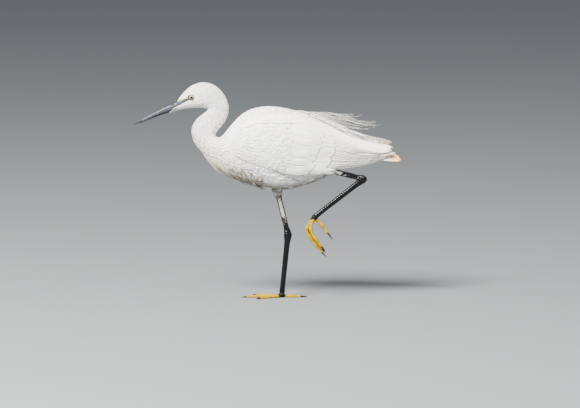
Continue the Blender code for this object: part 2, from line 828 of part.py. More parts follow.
def make_leg(side, plumage, skin):
    leg, name = LEGS[side], SIDE_NAMES[side]
    knee, ankle, toe_joint = leg["knee"], leg["ankle"], leg["toe_joint"]
    feathers_end = knee.lerp(ankle, leg["feathers_end"])
    path = [knee.lerp(feathers_end, i / 8) for i in range(9)]
    taper = spline((0, 2, 4, 6, 8), [(radius,) for radius in leg["thigh_radii"]])
    thigh = tube("thigh_form", path, [float(taper(i)[0]) for i in range(9)], 3)
    thigh = difference("thigh_" + name, thigh, [body_cutter(), wing_cover(side)])
    finish(thigh, plumage)
    shank = limb("shank_form", feathers_end.lerp(ankle, 0.01), ankle, SHANK_STEPS)
    joint = limb("joint", ankle, toe_joint, TARSUS_STEPS, GAP)
    finish(difference("shank_" + name, shank, [joint]), skin)
    finish(limb("tarsus_" + name, ankle, toe_joint, TARSUS_STEPS), skin)


# The feet: three toes forward and one back, with pads at the joints, and a claw on each.

TOE_RADIUS, TOE_TIP_RADIUS, PAD_SWELL = 3.0, 2.1, 0.45
STANDING_TOES = {
    "inner": (44.0, -33.0, 3),
    "middle": (60.0, -2.0, 4),
    "outer": (51.0, 31.0, 4),
    "hind": (32.0, 176.0, 2),
}
CLAW_LENGTHS = {"inner": 8.0, "middle": 9.0, "outer": 7.5, "hind": 12.0}
LIFTED_TOES = {
    "inner": ((77.5, -20.0, 136.1), (73.0, -25.0, 120.1), (81.5, -27.0, 103.1), (92.0, -26.0, 89.6)),
    "middle": ((76.0, -18.0, 136.1), (67.0, -18.5, 117.1), (72.5, -19.0, 104.1), (92.5, -18.5, 79.1)),
    "outer": ((77.5, -16.0, 136.1), (71.0, -11.5, 118.1), (77.5, -10.0, 103.1), (92.5, -11.0, 84.1)),
    "hind": ((81.0, -18.0, 136.6), (88.5, -18.0, 129.1), (95.5, -18.0, 120.6), (102.0, -18.0, 112.1)),
}
TOE_STEPS = 10


def toe_radius(share, joints):
    """The toe tapers to its tip and swells into a pad at each joint."""
    swell = PAD_SWELL * math.cos(math.tau * joints * share) * (1 - 0.3 * share)
    return mix(TOE_RADIUS, TOE_TIP_RADIUS, share) + swell


def standing_toe_path(name):
    length, degrees, joints = STANDING_TOES[name]
    base = LEGS[RIGHT]["toe_joint"]
    turn = math.radians(degrees)
    ahead = Vector((-math.cos(turn), math.sin(turn), 0))
    path = []
    for i in range(TOE_STEPS + 1):
        share = i / TOE_STEPS
        point = base + ahead * length * share
        point.z = mix(TOE_RADIUS, TOE_TIP_RADIUS, share) - 0.5 + 2.2 * max(0, 1 - share * 5)
        path.append(point)
    return path


def claw_path(tip, ahead, down, length):
    """A claw leaves the toe along it and bends down to its point."""
    return [
        tip + ahead * GAP,
        tip + ahead * length * 0.45 + down * length * 0.04,
        tip + ahead * length * 0.8 + down * length * 0.14,
        tip + ahead * length + down * length * 0.27,
    ]


def make_foot(side, foot_skin, claw_horn):
    name, leg = SIDE_NAMES[side], LEGS[side]
    hub = ball("hub", leg["toe_joint"] + Vector((0, 0, -0.6)), 4.7, 12, 8)
    pieces = [hub]
    for toe, (_, _, joints) in STANDING_TOES.items():
        if side == RIGHT:
            path = standing_toe_path(toe)
            down = Vector((0, 0, -0.25))
        else:
            path = smooth_path(LIFTED_TOES[toe], TOE_STEPS)
            down = Vector((0.45, 0, -0.4))
        radii = [toe_radius(i / TOE_STEPS, joints) for i in range(TOE_STEPS + 1)]
        pieces.append(tube("toe", path, radii, 1))
        ahead = (path[-1] - path[-2]).normalized()
        claw = tube(
            f"claw_{name}_{toe}",
            claw_path(path[-1], ahead, down, CLAW_LENGTHS[toe]),
            (1.6, 1.25, 0.8, 0.3),
            1,
        )
        finish(claw, claw_horn)
    foot = union("foot_" + name, pieces)
    if side == RIGHT:
        trim(foot, (0, 0, 0), Vector((0, 0, -1)))
    return finish(foot, foot_skin)


def main():
    for obj in list(bpy.data.objects):
        bpy.data.objects.remove(obj)
    plumage = material("white_plumage", (0.86, 0.86, 0.84), 0.75)
    horn = material("slate_bill", (0.10, 0.12, 0.15), 0.4)
    black_skin = material("black_leg_skin", (0.02, 0.02, 0.02), 0.35)
    yellow_skin = material("yellow_foot_skin", (0.85, 0.62, 0.02), 0.45)
    claw_horn = material("black_claw", (0.03, 0.03, 0.03), 0.4)
    iris = material("pale_iris", (0.75, 0.75, 0.45), 0.1)

    make_head(plumage)
    make_eyes(iris)
    make_bill(horn)
    finish(body_length("neck_upper", NECK_START, NECK_MIDDLE, NECK_STEP), plumage)
    finish(body_length("neck_lower", NECK_MIDDLE, BREAST_START, NECK_STEP), plumage)
    make_breast(plumage)
    make_torso(plumage)
    for side in (LEFT, RIGHT):
        make_wing(side, plumage)
        make_leg(side, plumage, black_skin)
        make_foot(side, yellow_skin, claw_horn)
    make_tail(plumage)
    egret = bpy.data.collections.new("little_egret")
    bpy.context.scene.collection.children.link(egret)
    for obj in list(bpy.context.scene.collection.objects):
        bpy.context.scene.collection.objects.unlink(obj)
        egret.objects.link(obj)


main()
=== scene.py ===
"""A little egret wading, life size: its skin, feathers, eyes, bill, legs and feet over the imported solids.

The bird walks towards -X, Z is up and the floor is z = 0. Sizes are in millimetres, as a maker would
note them, and MM turns them into Blender's metres.
"""

import math

import bmesh
import bpy
import numpy as np
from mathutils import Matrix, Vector, kdtree


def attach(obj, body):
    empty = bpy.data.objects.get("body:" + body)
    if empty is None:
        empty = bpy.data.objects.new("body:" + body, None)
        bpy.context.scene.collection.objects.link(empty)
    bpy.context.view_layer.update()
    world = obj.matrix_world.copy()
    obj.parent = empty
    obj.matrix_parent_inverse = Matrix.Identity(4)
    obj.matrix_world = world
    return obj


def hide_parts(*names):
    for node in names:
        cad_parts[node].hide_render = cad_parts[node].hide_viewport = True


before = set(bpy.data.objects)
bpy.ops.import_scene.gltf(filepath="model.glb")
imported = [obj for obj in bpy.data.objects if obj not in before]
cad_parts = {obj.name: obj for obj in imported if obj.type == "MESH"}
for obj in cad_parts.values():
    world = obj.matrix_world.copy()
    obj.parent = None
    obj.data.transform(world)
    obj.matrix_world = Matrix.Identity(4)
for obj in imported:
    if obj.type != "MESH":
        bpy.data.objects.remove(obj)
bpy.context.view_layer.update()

# The skin. One pale skin runs from the bill's base to the tail's root and down both thighs. On the
# museum's model it is drawn over a carved body form, and every feather but those of the wings and the
# tail is rooted in it, so it lies inside the bird's outline by the depth of the feathers.

MM = 0.001
LEFT, RIGHT = -1, 1
# Each row is a section: back x and z, belly x and z, half width, how much wider its upper half is.
BODY_SECTIONS = (
    (-152.5, 337.5, -157.0, 318.5, 8.5, 0.00),
    (-137.0, 355.5, -141.0, 322.3, 13.0, 0.05),
    (-109.0, 367.4, -117.0, 324.0, 17.5, 0.10),
    (-82.0, 356.5, -104.5, 322.8, 16.5, 0.05),
    (-67.0, 331.0, -103.0, 320.0, 15.0, 0.00),
    (-67.5, 312.0, -108.0, 315.0, 15.5, 0.00),
    (-79.5, 291.5, -121.0, 304.5, 16.5, 0.00),
    (-88.0, 279.0, -129.6, 284.0, 17.5, 0.00),
    (-85.5, 274.6, -126.0, 267.0, 19.5, 0.00),
    (-79.0, 274.0, -114.0, 249.5, 24.0, 0.05),
    (-67.5, 286.0, -93.0, 228.0, 31.0, 0.10),
    (-43.0, 313.0, -58.0, 207.0, 39.5, 0.15),
    (-10.0, 326.0, -22.0, 194.0, 44.5, 0.15),
    (24.0, 324.5, 18.0, 184.5, 45.0, 0.15),
    (62.0, 315.5, 58.0, 190.5, 39.5, 0.15),
    (100.0, 300.0, 98.0, 205.5, 27.0, 0.10),
    (131.0, 277.0, 128.0, 217.5, 13.5, 0.00),
    (152.0, 262.0, 150.0, 223.0, 8.0, 0.00),
)
TAIL_ROOT_SECTIONS = ((165, 255, 228, 6.0), (178, 248, 232, 4.2))
SKIN_SIDES = 96


def spline(keys, rows):
    """Returns a function that reads a natural cubic spline through the rows, at one key or many."""
    keys, rows = np.array(keys, float), np.array(rows, float)
    last = len(keys) - 1
    step = np.diff(keys)
    system, right_side = np.eye(last + 1), np.zeros_like(rows)
    for i in range(1, last):
        system[i, i - 1 : i + 2] = step[i - 1], 2 * (step[i - 1] + step[i]), step[i]
        slopes = np.diff(rows[i - 1 : i + 2], axis=0) / step[i - 1 : i + 1, None]
        right_side[i] = 6 * (slopes[1] - slopes[0])
    bend = np.linalg.solve(system, right_side)

    def read(key):
        key = np.asarray(key, float)
        i = np.clip(np.searchsorted(keys, key) - 1, 0, last - 1)
        reach = step[i]
        a, b = (keys[i + 1] - key) / reach, (key - keys[i]) / reach
        a, b, reach = a[..., None], b[..., None], reach[..., None]
        curve = (a**3 - a) * bend[i] + (b**3 - b) * bend[i + 1]
        return a * rows[i] + b * rows[i + 1] + curve * reach**2 / 6

    return read


def mix(a, b, share):
    return a + (b - a) * share


def unit(ways):
    """The same directions, each of length 1."""
    return ways / np.linalg.norm(ways, axis=-1, keepdims=True)


def section_keys(sections):
    """How far along the middle line each section stands."""
    keys = [0.0]
    for a, b in zip(sections, sections[1:]):
        move = ((b[0] + b[2] - a[0] - a[2]) / 2, (b[1] + b[3] - a[1] - a[3]) / 2)
        keys.append(keys[-1] + math.hypot(*move))
    return keys


BODY_KEYS = section_keys(BODY_SECTIONS)
NECK_START, BREAST_START, TORSO_START = BODY_KEYS[4], BODY_KEYS[9], BODY_KEYS[11]
BODY_END = BODY_KEYS[-1]
read_body = spline(BODY_KEYS, BODY_SECTIONS)


def body_point(key, degrees, grow=0.0):
    """Points on the body: 0 degrees is the back, 90 the left side, 180 the belly."""
    back_x, back_z, belly_x, belly_z, half_width, fuller = np.moveaxis(read_body(key), -1, 0)
    turn = np.radians(degrees)
    up_x, up_z = (back_x - belly_x) / 2, (back_z - belly_z) / 2
    half = np.hypot(up_x, up_z)
    height = (1 + grow / half) * np.cos(turn)
    x = (back_x + belly_x) / 2 + up_x * height
    z = (back_z + belly_z) / 2 + up_z * height
    y = -(half_width + grow) * (1 + fuller * np.cos(turn)) * np.sin(turn)
    return np.stack(np.broadcast_arrays(x, y, z), axis=-1)


def feather_depth(key):
    """How far the skin lies below the tips of the feathers."""
    return np.interp(key, (0, 12, NECK_START, BREAST_START, TORSO_START), (0.4, 0.7, 1.1, 1.6, 2.1))


def new_object(name, verts, faces):
    """An object from points in millimetres and faces, which point outwards."""
    mesh = bpy.data.meshes.new(name)
    mesh.from_pydata((np.asarray(verts) * MM).tolist(), [], [list(map(int, f)) for f in faces])
    made = bpy.data.objects.new(name, mesh)
    bpy.context.scene.collection.objects.link(made)
    return made


def round_faces(rings, sides, hoop=False):
    """The faces of a tube of rings, counted ring by ring. Its ends are covered, or meet in a hoop."""
    faces = []
    for i in range(rings if hoop else rings - 1):
        a, b = i * sides, (i + 1) % rings * sides
        for j in range(sides):
            k = (j + 1) % sides
            faces.append((a + j, a + k, b + k, b + j))
    if not hoop:
        faces.append(tuple(reversed(range(sides))))
        faces.append(tuple(range((rings - 1) * sides, rings * sides)))
    return faces


def outwards(obj):
    """Turns every face of a closed mesh outwards and shades it smooth."""
    shape = bmesh.new()
    shape.from_mesh(obj.data)
    bmesh.ops.recalc_face_normals(shape, faces=shape.faces)
    shape.to_mesh(obj.data)
    shape.free()
    obj.data.shade_smooth()
    return obj


def tube(name, rings, hoop=False):
    """A closed surface through rings of points in millimetres."""
    rings = np.asarray(rings)
    faces = round_faces(*rings.shape[:2], hoop)
    return outwards(new_object(name, rings.reshape(-1, 3), faces))


EYE_KEY, EYE_ANGLE, EYE_SUNK = mix(BODY_KEYS[1], BODY_KEYS[2], 0.40), 91, 3.4
SOCKET_RADIUS, SOCKET_DEPTH = 4.4, 4.5
BROW_SWELL, CHEEK_SWELL = 0.7, 0.6


def eye_centre(side):
    point = body_point(EYE_KEY, EYE_ANGLE)
    return np.array((point[0], (abs(point[1]) - EYE_SUNK) * side, point[2]))


def bump_at(x, z, centre_x, centre_z, reach_x, reach_z):
    """A smooth hill of height 1, seen from the side."""
    return np.exp(-(((x - centre_x) / reach_x) ** 2) - ((z - centre_z) / reach_z) ** 2)


def skin_point(key, degrees):
    """The skin's own surface, with the brow, the cheek, the hollow of the lores and the eye sockets."""
    point = body_point(key, degrees, -feather_depth(key))
    x, y, z = np.moveaxis(point, -1, 0)
    eye_x, _, eye_z = eye_centre(LEFT)
    out = BROW_SWELL * bump_at(x, z, eye_x + 1, eye_z + 6.5, 9, 3)
    out += CHEEK_SWELL * bump_at(x, z, eye_x + 12, eye_z - 9, 9, 6)
    out -= 0.9 * bump_at(x, z, eye_x - 11, eye_z - 6, 8, 3.2)
    near_eye = np.hypot(x - eye_x, z - eye_z)
    out -= SOCKET_DEPTH * np.clip((SOCKET_RADIUS - near_eye) / 1.2, 0, 1)
    side = np.clip(np.abs(y) / 6, 0, 1)
    point[..., 1] += np.sign(y) * out * side
    return point


def skin_rings():
    keys = np.concatenate(
        (
            np.linspace(-3, NECK_START, 66)[:-1],
            np.linspace(NECK_START, TORSO_START, 74)[:-1],
            np.linspace(TORSO_START, BODY_END, 46),
        )
    )
    degrees = np.arange(SKIN_SIDES) * 360 / SKIN_SIDES
    rings = skin_point(keys[:, None], degrees[None, :])
    turn = np.radians(degrees)
    roots = []
    for x, top, low, half_width in TAIL_ROOT_SECTIONS:
        level = (top + low) / 2 + (top - low) / 2 * np.cos(turn)
        roots.append(np.stack((np.full(SKIN_SIDES, x), -half_width * np.sin(turn), level), axis=-1))
        keys = np.append(keys, keys[-1] + 13)
    return keys, np.concatenate((rings, roots))


LEG_BONES = {
    LEFT: {
        "knee": np.array((23.5, -24.0, 240.5)),
        "ankle": np.array((162.5, -21.0, 205.0)),
        "toe_joint": np.array((79.0, -18.0, 139.4)),
        "feathers_end": 0.685,
        "thigh_radii": (15.0, 14.0, 12.0, 9.0, 5.8),
    },
    RIGHT: {
        "knee": np.array((-0.5, 19.0, 248.5)),
        "ankle": np.array((34.5, 4.5, 107.6)),
        "toe_joint": np.array((24.0, 0.0, 5.6)),
        "feathers_end": 0.54,
        "thigh_radii": (17.0, 17.0, 16.0, 12.0, 6.0),
    },
}
THIGH_SIDES, THIGH_RINGS, THIGH_FEATHER_DEPTH = 32, 34, 2.0


def full_turn(sides):
    """Angles at even steps, once round."""
    return np.arange(sides) * math.tau / sides


def limb_frame(start, end):
    """The way along a straight limb, the way out of its front, and the way across both."""
    ahead = unit(end - start)
    front = unit(np.array((-1.0, 0, 0)) + ahead * ahead[0])
    return ahead, front, np.cross(ahead, front)


def limb_rings(start, end, shares, radii, sides):
    """Rings round a straight limb. The first point of each ring faces the bird's front."""
    _, front, across = limb_frame(start, end)
    turn = full_turn(sides)
    spokes = front * np.cos(turn)[:, None] + across * np.sin(turn)[:, None]
    middle = start + (end - start) * np.asarray(shares)[:, None]
    radii = np.asarray(radii)
    if radii.ndim == 1:
        radii = radii[:, None] * np.ones(sides)
    return middle[:, None, :] + spokes[None] * radii[..., None]


def thigh_rings(side):
    leg = LEG_BONES[side]
    shares = np.linspace(0, 1, THIGH_RINGS)
    radii = [(radius - THIGH_FEATHER_DEPTH,) for radius in leg["thigh_radii"]]
    radii = spline((0, 0.25, 0.5, 0.75, 1), radii)(shares)[:, 0]
    end = mix(leg["knee"], leg["ankle"], leg["feathers_end"] + 0.015)
    return limb_rings(leg["knee"], end, shares, radii, THIGH_SIDES)


def united(base, others):
    """Joins others to base by one Boolean and removes them."""
    group = bpy.data.collections.new("joined")
    for other in others:
        group.objects.link(other)
    modifier = base.modifiers.new("joined", "BOOLEAN")
    modifier.operation, modifier.operand_type, modifier.solver = "UNION", "COLLECTION", "MANIFOLD"
    modifier.collection = group
    plain_mesh(base)
    base.data.materials.clear()
    for other in others:
        bpy.data.objects.remove(other)
    bpy.data.collections.remove(group)
    return base


def plain_mesh(obj):
    """Replaces an object's mesh by what its modifiers make of it, and removes them."""
    bpy.context.view_layer.update()
    graph = bpy.context.evaluated_depsgraph_get()
    mesh = bpy.data.meshes.new_from_object(obj.evaluated_get(graph), depsgraph=graph)
    obj.modifiers.clear()
    obj.data = mesh
    return obj


# Where each part of the skin lies on its flat pattern, from 0 to 1 both ways.
BODY_PATTERN = (0.02, 0.02, 0.62, 0.96)
THIGH_PATTERNS = {LEFT: (0.68, 0.02, 0.13, 0.3), RIGHT: (0.84, 0.02, 0.13, 0.3)}


def on_pattern(pattern, around, along):
    left, low, width, height = pattern
    return left + width * around, low + height * along


def read_points(mesh):
    points = np.zeros(len(mesh.vertices) * 3)
    mesh.vertices.foreach_get("co", points)
    return points.reshape(-1, 3) / MM


def add_field(mesh, name, values):
    """Stores a number or a direction for each point of a mesh."""
    values = np.asarray(values, float)
    kind, slot = ("FLOAT", "value") if values.ndim == 1 else ("FLOAT_VECTOR", "vector")
    field = mesh.attributes.new(name, kind, "POINT")
    field.data.foreach_set(slot, values.ravel())


def at_corners(mesh, values):
    """What each corner of each face takes from its point."""
    corners = np.zeros(len(mesh.loops), int)
    mesh.loops.foreach_get("vertex_index", corners)
    return np.asarray(values)[corners]


def add_pattern(mesh, u, v):
    """The flat pattern of a mesh, which closes round the body where u comes back to its start."""
    place = at_corners(mesh, np.stack((u, v), axis=-1))
    for face in mesh.polygons:
        part = place[face.loop_start : face.loop_start + face.loop_total, 0]
        if part.max() - part.min() > 0.3:
            part[part < 0.35] += BODY_PATTERN[2]
        elif part.min() > 0.66 and part.max() - part.min() > 0.06:
            part[part < part.max() - 0.06] += THIGH_PATTERNS[LEFT][2]
    mesh.uv_layers.new(name="OFBake").data.foreach_set("uv", place.ravel())


def directions(rings):
    """The way from each ring to the next, at every point."""
    return unit(np.gradient(rings, axis=0))


class Sources:
    """Points of the plain forms that the skin was joined from, with what is known of each."""

    def __init__(self):
        self.points, self.rows = [], []

    def add(self, rings, along, pattern, part):
        lie = directions(rings)
        count = rings.shape[1]
        for i, share in enumerate(along):
            for j in range(count):
                u, v = on_pattern(pattern, j / count, (share - along[0]) / (along[-1] - along[0]))
                self.points.append(rings[i, j])
                self.rows.append((*lie[i, j], share, 360 * j / count, u, v, part))

    def read(self, points):
        tree = kdtree.KDTree(len(self.points))
        for index, point in enumerate(self.points):
            tree.insert(point, index)
        tree.balance()
        rows = np.array(self.rows)
        return rows[[tree.find(point)[1] for point in points]]


skin_keys, body_rings = skin_rings()
sources = Sources()
sources.add(body_rings, skin_keys, BODY_PATTERN, 0)
thighs = []
for side in (LEFT, RIGHT):
    rings = thigh_rings(side)
    sources.add(rings, np.linspace(0, 1, THIGH_RINGS), THIGH_PATTERNS[side], side)
    thighs.append(tube("thigh", rings))
skin = united(tube("skin", body_rings), thighs)
outwards(skin)
skin_points = read_points(skin.data)
known = sources.read(skin_points)
add_pattern(skin.data, known[:, 5], known[:, 6])


class Wire:
    """An output of a node tree. Sums and products of wires add the tree's Math nodes."""

    def __init__(self, bench, socket):
        self.bench, self.socket = bench, socket

    def math(self, operation, *values):
        return self.bench.add("ShaderNodeMath", {"operation": operation}, dict(enumerate(values)))

    def __add__(self, other):
        return self.math("ADD", self, other)

    def __radd__(self, other):
        return self.math("ADD", other, self)

    def __sub__(self, other):
        return self.math("SUBTRACT", self, other)

    def __rsub__(self, other):
        return self.math("SUBTRACT", other, self)

    def __mul__(self, other):
        return self.math("MULTIPLY", self, other)

    def __rmul__(self, other):
        return self.math("MULTIPLY", other, self)

    def __truediv__(self, other):
        return self.math("DIVIDE", self, other)

    def __rtruediv__(self, other):
        return self.math("DIVIDE", other, self)

    def __pow__(self, other):
        return self.math("POWER", self, other)

    def __abs__(self):
        return self.math("ABSOLUTE", self)

    def bounded(self):
        """The same number, kept from 0 to 1."""
        return self.bench.add("ShaderNodeClamp", {}, {0: self})


class Bench:
    """A node tree in the making. add() places any node and returns one of its outputs."""

    def __init__(self, tree):
        self.tree = tree

    def add(self, kind, settings=None, inputs=None, output=0):
        node = self.tree.nodes.new(kind)
        for name, value in (settings or {}).items():
            if name == "stops":
                for stop in value[2:]:
                    node.color_ramp.elements.new(stop[0])
                for element, (place, colour) in zip(node.color_ramp.elements, value):
                    element.position = place
                    element.color = (*colour, 1)
            else:
                setattr(node, name, value)
        for name, value in (inputs or {}).items():
            self.connect(value, node.inputs[name])
        return Wire(self, node.outputs[output])

    def connect(self, value, socket):
        if isinstance(value, Wire):
            self.tree.links.new(value.socket, socket)
        else:
            socket.default_value = value

    def field(self, name, kind="FLOAT"):
        """A value stored on the mesh, in a tree of geometry."""
        return self.add("GeometryNodeInputNamedAttribute", {"data_type": kind}, {"Name": name})


class Finish(Bench):
    """A material's node tree. Numbers that are the same all over go on the shader's own sockets."""

    def __init__(self, name, **uniform):
        self.material = bpy.data.materials.new(name)
        self.material.use_nodes = True
        super().__init__(self.material.node_tree)
        self.shader = self.tree.nodes["Principled BSDF"]
        for socket, value in uniform.items():
            self.shader.inputs[socket.replace("_", " ")].default_value = value
        self.place = self.add("ShaderNodeTexCoord", {}, {}, "Object")

    def set(self, socket, value):
        self.connect(value, self.shader.inputs[socket])

    def stored(self, name, output="Fac"):
        """A value stored on the mesh, in a material."""
        return self.add("ShaderNodeAttribute", {"attribute_name": name}, {}, output)

    def axes(self):
        """The place's x, y and z, in metres."""
        split = self.add("ShaderNodeSeparateXYZ", {}, {0: self.place}).socket.node
        return [Wire(self, output) for output in split.outputs]

    def noise(self, scale, detail=2.0, roughness=0.5, stretch=None, place=None):
        """A soft random pattern over the object, scale to the metre, drawn out by stretch."""
        place = place or self.place
        if stretch:
            place = self.add("ShaderNodeMapping", {}, {"Vector": place, "Scale": stretch})
        return self.add(
            "ShaderNodeTexNoise",
            {},
            {"Vector": place, "Scale": scale, "Detail": detail, "Roughness": roughness},
        )

    def blend(self, a, b, mask):
        """One colour over another, where the mask is 1."""
        a, b = (value if isinstance(value, Wire) else (*value, 1) for value in (a, b))
        return self.add("ShaderNodeMix", {"data_type": "RGBA"}, {0: mask, 6: a, 7: b}, 2)

    def stroke(self, x, z, start, end, width, wander):
        """1 on a thin line between two points seen from the side, in metres, fading to its ends."""
        length = math.hypot(end[0] - start[0], end[1] - start[1])
        along_x, along_z = (end[0] - start[0]) / length, (end[1] - start[1]) / length
        along = (x - start[0]) * along_x + (z - start[1]) * along_z
        off = (z - start[1]) * along_x - (x - start[0]) * along_z
        bow = along * (length - along) * (0.12 / length)
        line = (1.0 - abs(off + bow + (wander - 0.5) * 0.003) / width).bounded()
        return line * (along / 0.010).bounded() * ((length - along) / 0.010).bounded()

    def relief(self, height, distance, strength=1.0):
        """Raises the surface by a height from 0 to 1, distance in metres."""
        bump = {"Height": height, "Distance": distance, "Strength": strength}
        self.set("Normal", self.add("ShaderNodeBump", {}, bump))


# The brown-grey below is a water stain along the keel and, low on the breast and under the wing, painted
# shade.
CREAM, STAIN_AND_SHADE = (0.86, 0.76, 0.58), (0.17, 0.135, 0.09)
KEEL_LOW, KEEL_AT, KEEL_BEND = 0.1845, 0.020, 3.3
# Painted shadow lines under the wing's lower edge: where each starts and ends as (x, z), and its strength.
FOLD_SHADOWS = (((-0.004, 0.2318), (0.055, 0.2005), 0.75), ((0.049, 0.2185), (0.068, 0.2070), 0.6))


def markings_and_shade(finish, base):
    """The bird's own colours and painted shade over a base: cream down the lower breast, a water stain
    along the keel deepened by painted shade, streaks of painted shade low on the breast, and painted shadow
    lines under the wing."""
    x, y, z = finish.axes()
    above_keel = z - KEEL_LOW - (x - KEEL_AT) * (x - KEEL_AT) * KEEL_BEND
    patchy = finish.noise(90, 3.0, 0.6, (1.0, 1.0, 2.0))
    cream = ((0.062 - above_keel) / 0.055).bounded() * ((0.0 - x) / 0.05).bounded() * 0.8
    colour = finish.blend(base, CREAM, cream)
    # A water stain along the keel, made darker than the stain alone as painted shade on the belly's
    # underside.
    keel_stain_and_shade = ((0.017 - above_keel) / 0.013).bounded() * ((patchy - 0.29) * 4.5).bounded()
    keel_stain_and_shade = keel_stain_and_shade * ((x + 0.085) / 0.05).bounded() * ((0.128 - x) / 0.03).bounded()
    colour = finish.blend(colour, STAIN_AND_SHADE, keel_stain_and_shade * 0.92)
    # Streaks of brown-grey painted shade low on the breast, between and under the breast plumes.
    down_strand, across_strands = x * 0.62 - z * 0.78, x * 0.78 + z * 0.62
    drawn_out = finish.add(
        "ShaderNodeCombineXYZ", {}, {0: down_strand * 0.12, 1: y * 0.5, 2: across_strands}
    )
    streaks = finish.noise(420, 3.0, place=drawn_out)
    across_spot, up_spot = (x + 0.030) / 0.034, (z - 0.205 + (x + 0.03) * 0.35) / 0.019
    spot = (1.3 - across_spot * across_spot - up_spot * up_spot).bounded()
    colour = finish.blend(colour, STAIN_AND_SHADE, spot * ((streaks - 0.43) * 7.0).bounded() * 0.8)
    # Painted shadow lines along the wing's lower edge.
    for start, end, strength in FOLD_SHADOWS:
        colour = finish.blend(colour, STAIN_AND_SHADE, finish.stroke(x, z, start, end, 0.0019, patchy) * strength)
    return colour


def face_skin(finish, colour):
    """Bare skin of the lores: slate below, blue-green before the eye, and pale cream along its top."""
    across = finish.stored("lore_across")
    worn = finish.noise(420, 4.0, 0.65, (0.35, 1.0, 1.0))
    bands = finish.add(
        "ShaderNodeValToRGB",
        {
            "stops": (
                (0.0, (0.008, 0.010, 0.013)),
                (0.34, (0.018, 0.026, 0.036)),
                (0.62, (0.050, 0.075, 0.090)),
                (0.80, (0.22, 0.21, 0.10)),
                (1.0, (0.52, 0.42, 0.15)),
            )
        },
        {0: across + (worn - 0.5) * 0.55},
    )
    x = finish.axes()[0]
    by_bill = ((-0.149 - x) / 0.005).bounded() * ((0.62 - across) * 4.0).bounded()
    bands = finish.blend(bands, (0.022, 0.029, 0.040), by_bill)
    return finish.blend(colour, bands, finish.stored("lore"))


skin_finish = Finish("skin_of_the_body", Roughness=0.7)
down = skin_finish.noise(900, 3.0, 0.6)
skin_white = skin_finish.blend((0.60, 0.585, 0.55), (0.74, 0.73, 0.70), down)
skin_finish.set("Base Color", face_skin(skin_finish, markings_and_shade(skin_finish, skin_white)))
skin_finish.relief(down, 0.0003, 0.5)
skin.data.materials.append(skin_finish.material)

LORE_BACK, LORE_FRONT = (-133.5, 341.0), (-157.5, 331.0)
LORE_HALF_HEIGHTS = (2.6, 5.4)


def lore_fields(points):
    """How far each point lies in the bare lores, and how high across them, seen from the side."""
    back, front = np.array(LORE_BACK), np.array(LORE_FRONT)
    along_line = front - back
    length = np.linalg.norm(along_line)
    along_line /= length
    upward = np.array((-along_line[1], along_line[0]))
    upward *= np.sign(upward[1])
    place = points[:, [0, 2]] - back
    along = place @ along_line / length
    half = np.interp(along, (-0.15, 0, 1), (0.6, *LORE_HALF_HEIGHTS))
    across = (place @ upward) / half
    inside = np.clip((1.08 - np.abs(across)) / 0.16, 0, 1) * np.clip((along + 0.16) / 0.05, 0, 1)
    return inside, np.clip((across + 1) / 2, 0, 1)


lore, lore_across = lore_fields(skin_points)
add_field(skin.data, "lore", lore)
add_field(skin.data, "lore_across", lore_across)
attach(skin, "root")
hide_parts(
    "head", "neck_upper", "neck_lower", "breast", "torso", "mantle", "thigh_left", "thigh_right"
)

# The small feathers. Thousands of short feathers lie along the body like shingles, each root under
# the tips of those before it: hair-fine on the face, narrow on the neck, broad and loose on the body.
# They grow from the skin, so each one is set on a point of it and combed down to its surface.

# Each row is a section of the folded wings: back x and z, belly x and z, half width, and the degrees
# from the back down at which the wing's top and lower edges lie. WING_BOX squares its shoulders.
WING_COVERS = (
    (-65.0, 288.0, -91.0, 229.0, 32.5, 62, 92),
    (-43.0, 312.5, -58.0, 207.0, 41.3, 38, 108),
    (-10.0, 325.0, -22.0, 194.0, 46.3, 24, 117),
    (24.0, 323.0, 18.0, 184.5, 46.8, 20, 123),
    (62.0, 313.5, 58.0, 190.5, 41.5, 17, 126),
    (100.0, 297.0, 98.0, 205.5, 30.5, 14, 127),
    (135.0, 283.0, 135.0, 215.0, 20.5, 12, 130),
    (172.0, 272.5, 172.0, 225.5, 14.5, 14, 138),
    (213.0, 264.5, 213.0, 241.0, 11.0, 20, 130),
)
WING_BOX = 0.8
# The skin bears no feathers under the wing from HIDDEN_FROM to HIDDEN_TO, and this many degrees inside
# the wing's top and lower edges.
HIDDEN_FROM, HIDDEN_TO, HIDDEN_TOP, HIDDEN_LOW = -48, 140, 14, 12
read_wing = spline([(row[0] + row[2]) / 2 for row in WING_COVERS], WING_COVERS)


def under_wing(points, degrees):
    """True where the folded wing hides the skin, well inside its edges."""
    top, low = np.moveaxis(read_wing(points[:, 0])[:, 5:], -1, 0)
    angle = np.where(degrees > 180, 360 - degrees, degrees)
    hidden = (angle > top + HIDDEN_TOP) & (angle < low - HIDDEN_LOW)
    return hidden & (points[:, 0] > HIDDEN_FROM) & (points[:, 0] < HIDDEN_TO)


def inside_wing(points):
    """True for a thigh's points under the folded wing, and for all of the left thigh, which the flank
    feathers cover."""
    _, back_z, _, belly_z, half_width, _, low = np.moveaxis(read_wing(points[:, 0]), -1, 0)
    level = (points[:, 2] - (back_z + belly_z) / 2) / ((back_z - belly_z) / 2)
    angle = np.degrees(np.arccos(np.clip(level, -1, 1)))
    reach = half_width * np.sin(np.radians(angle)) ** WING_BOX
    covered = (angle < low - 3) & (np.abs(points[:, 1]) < reach + 0.5)
    return covered | (points[:, 1] < 0)


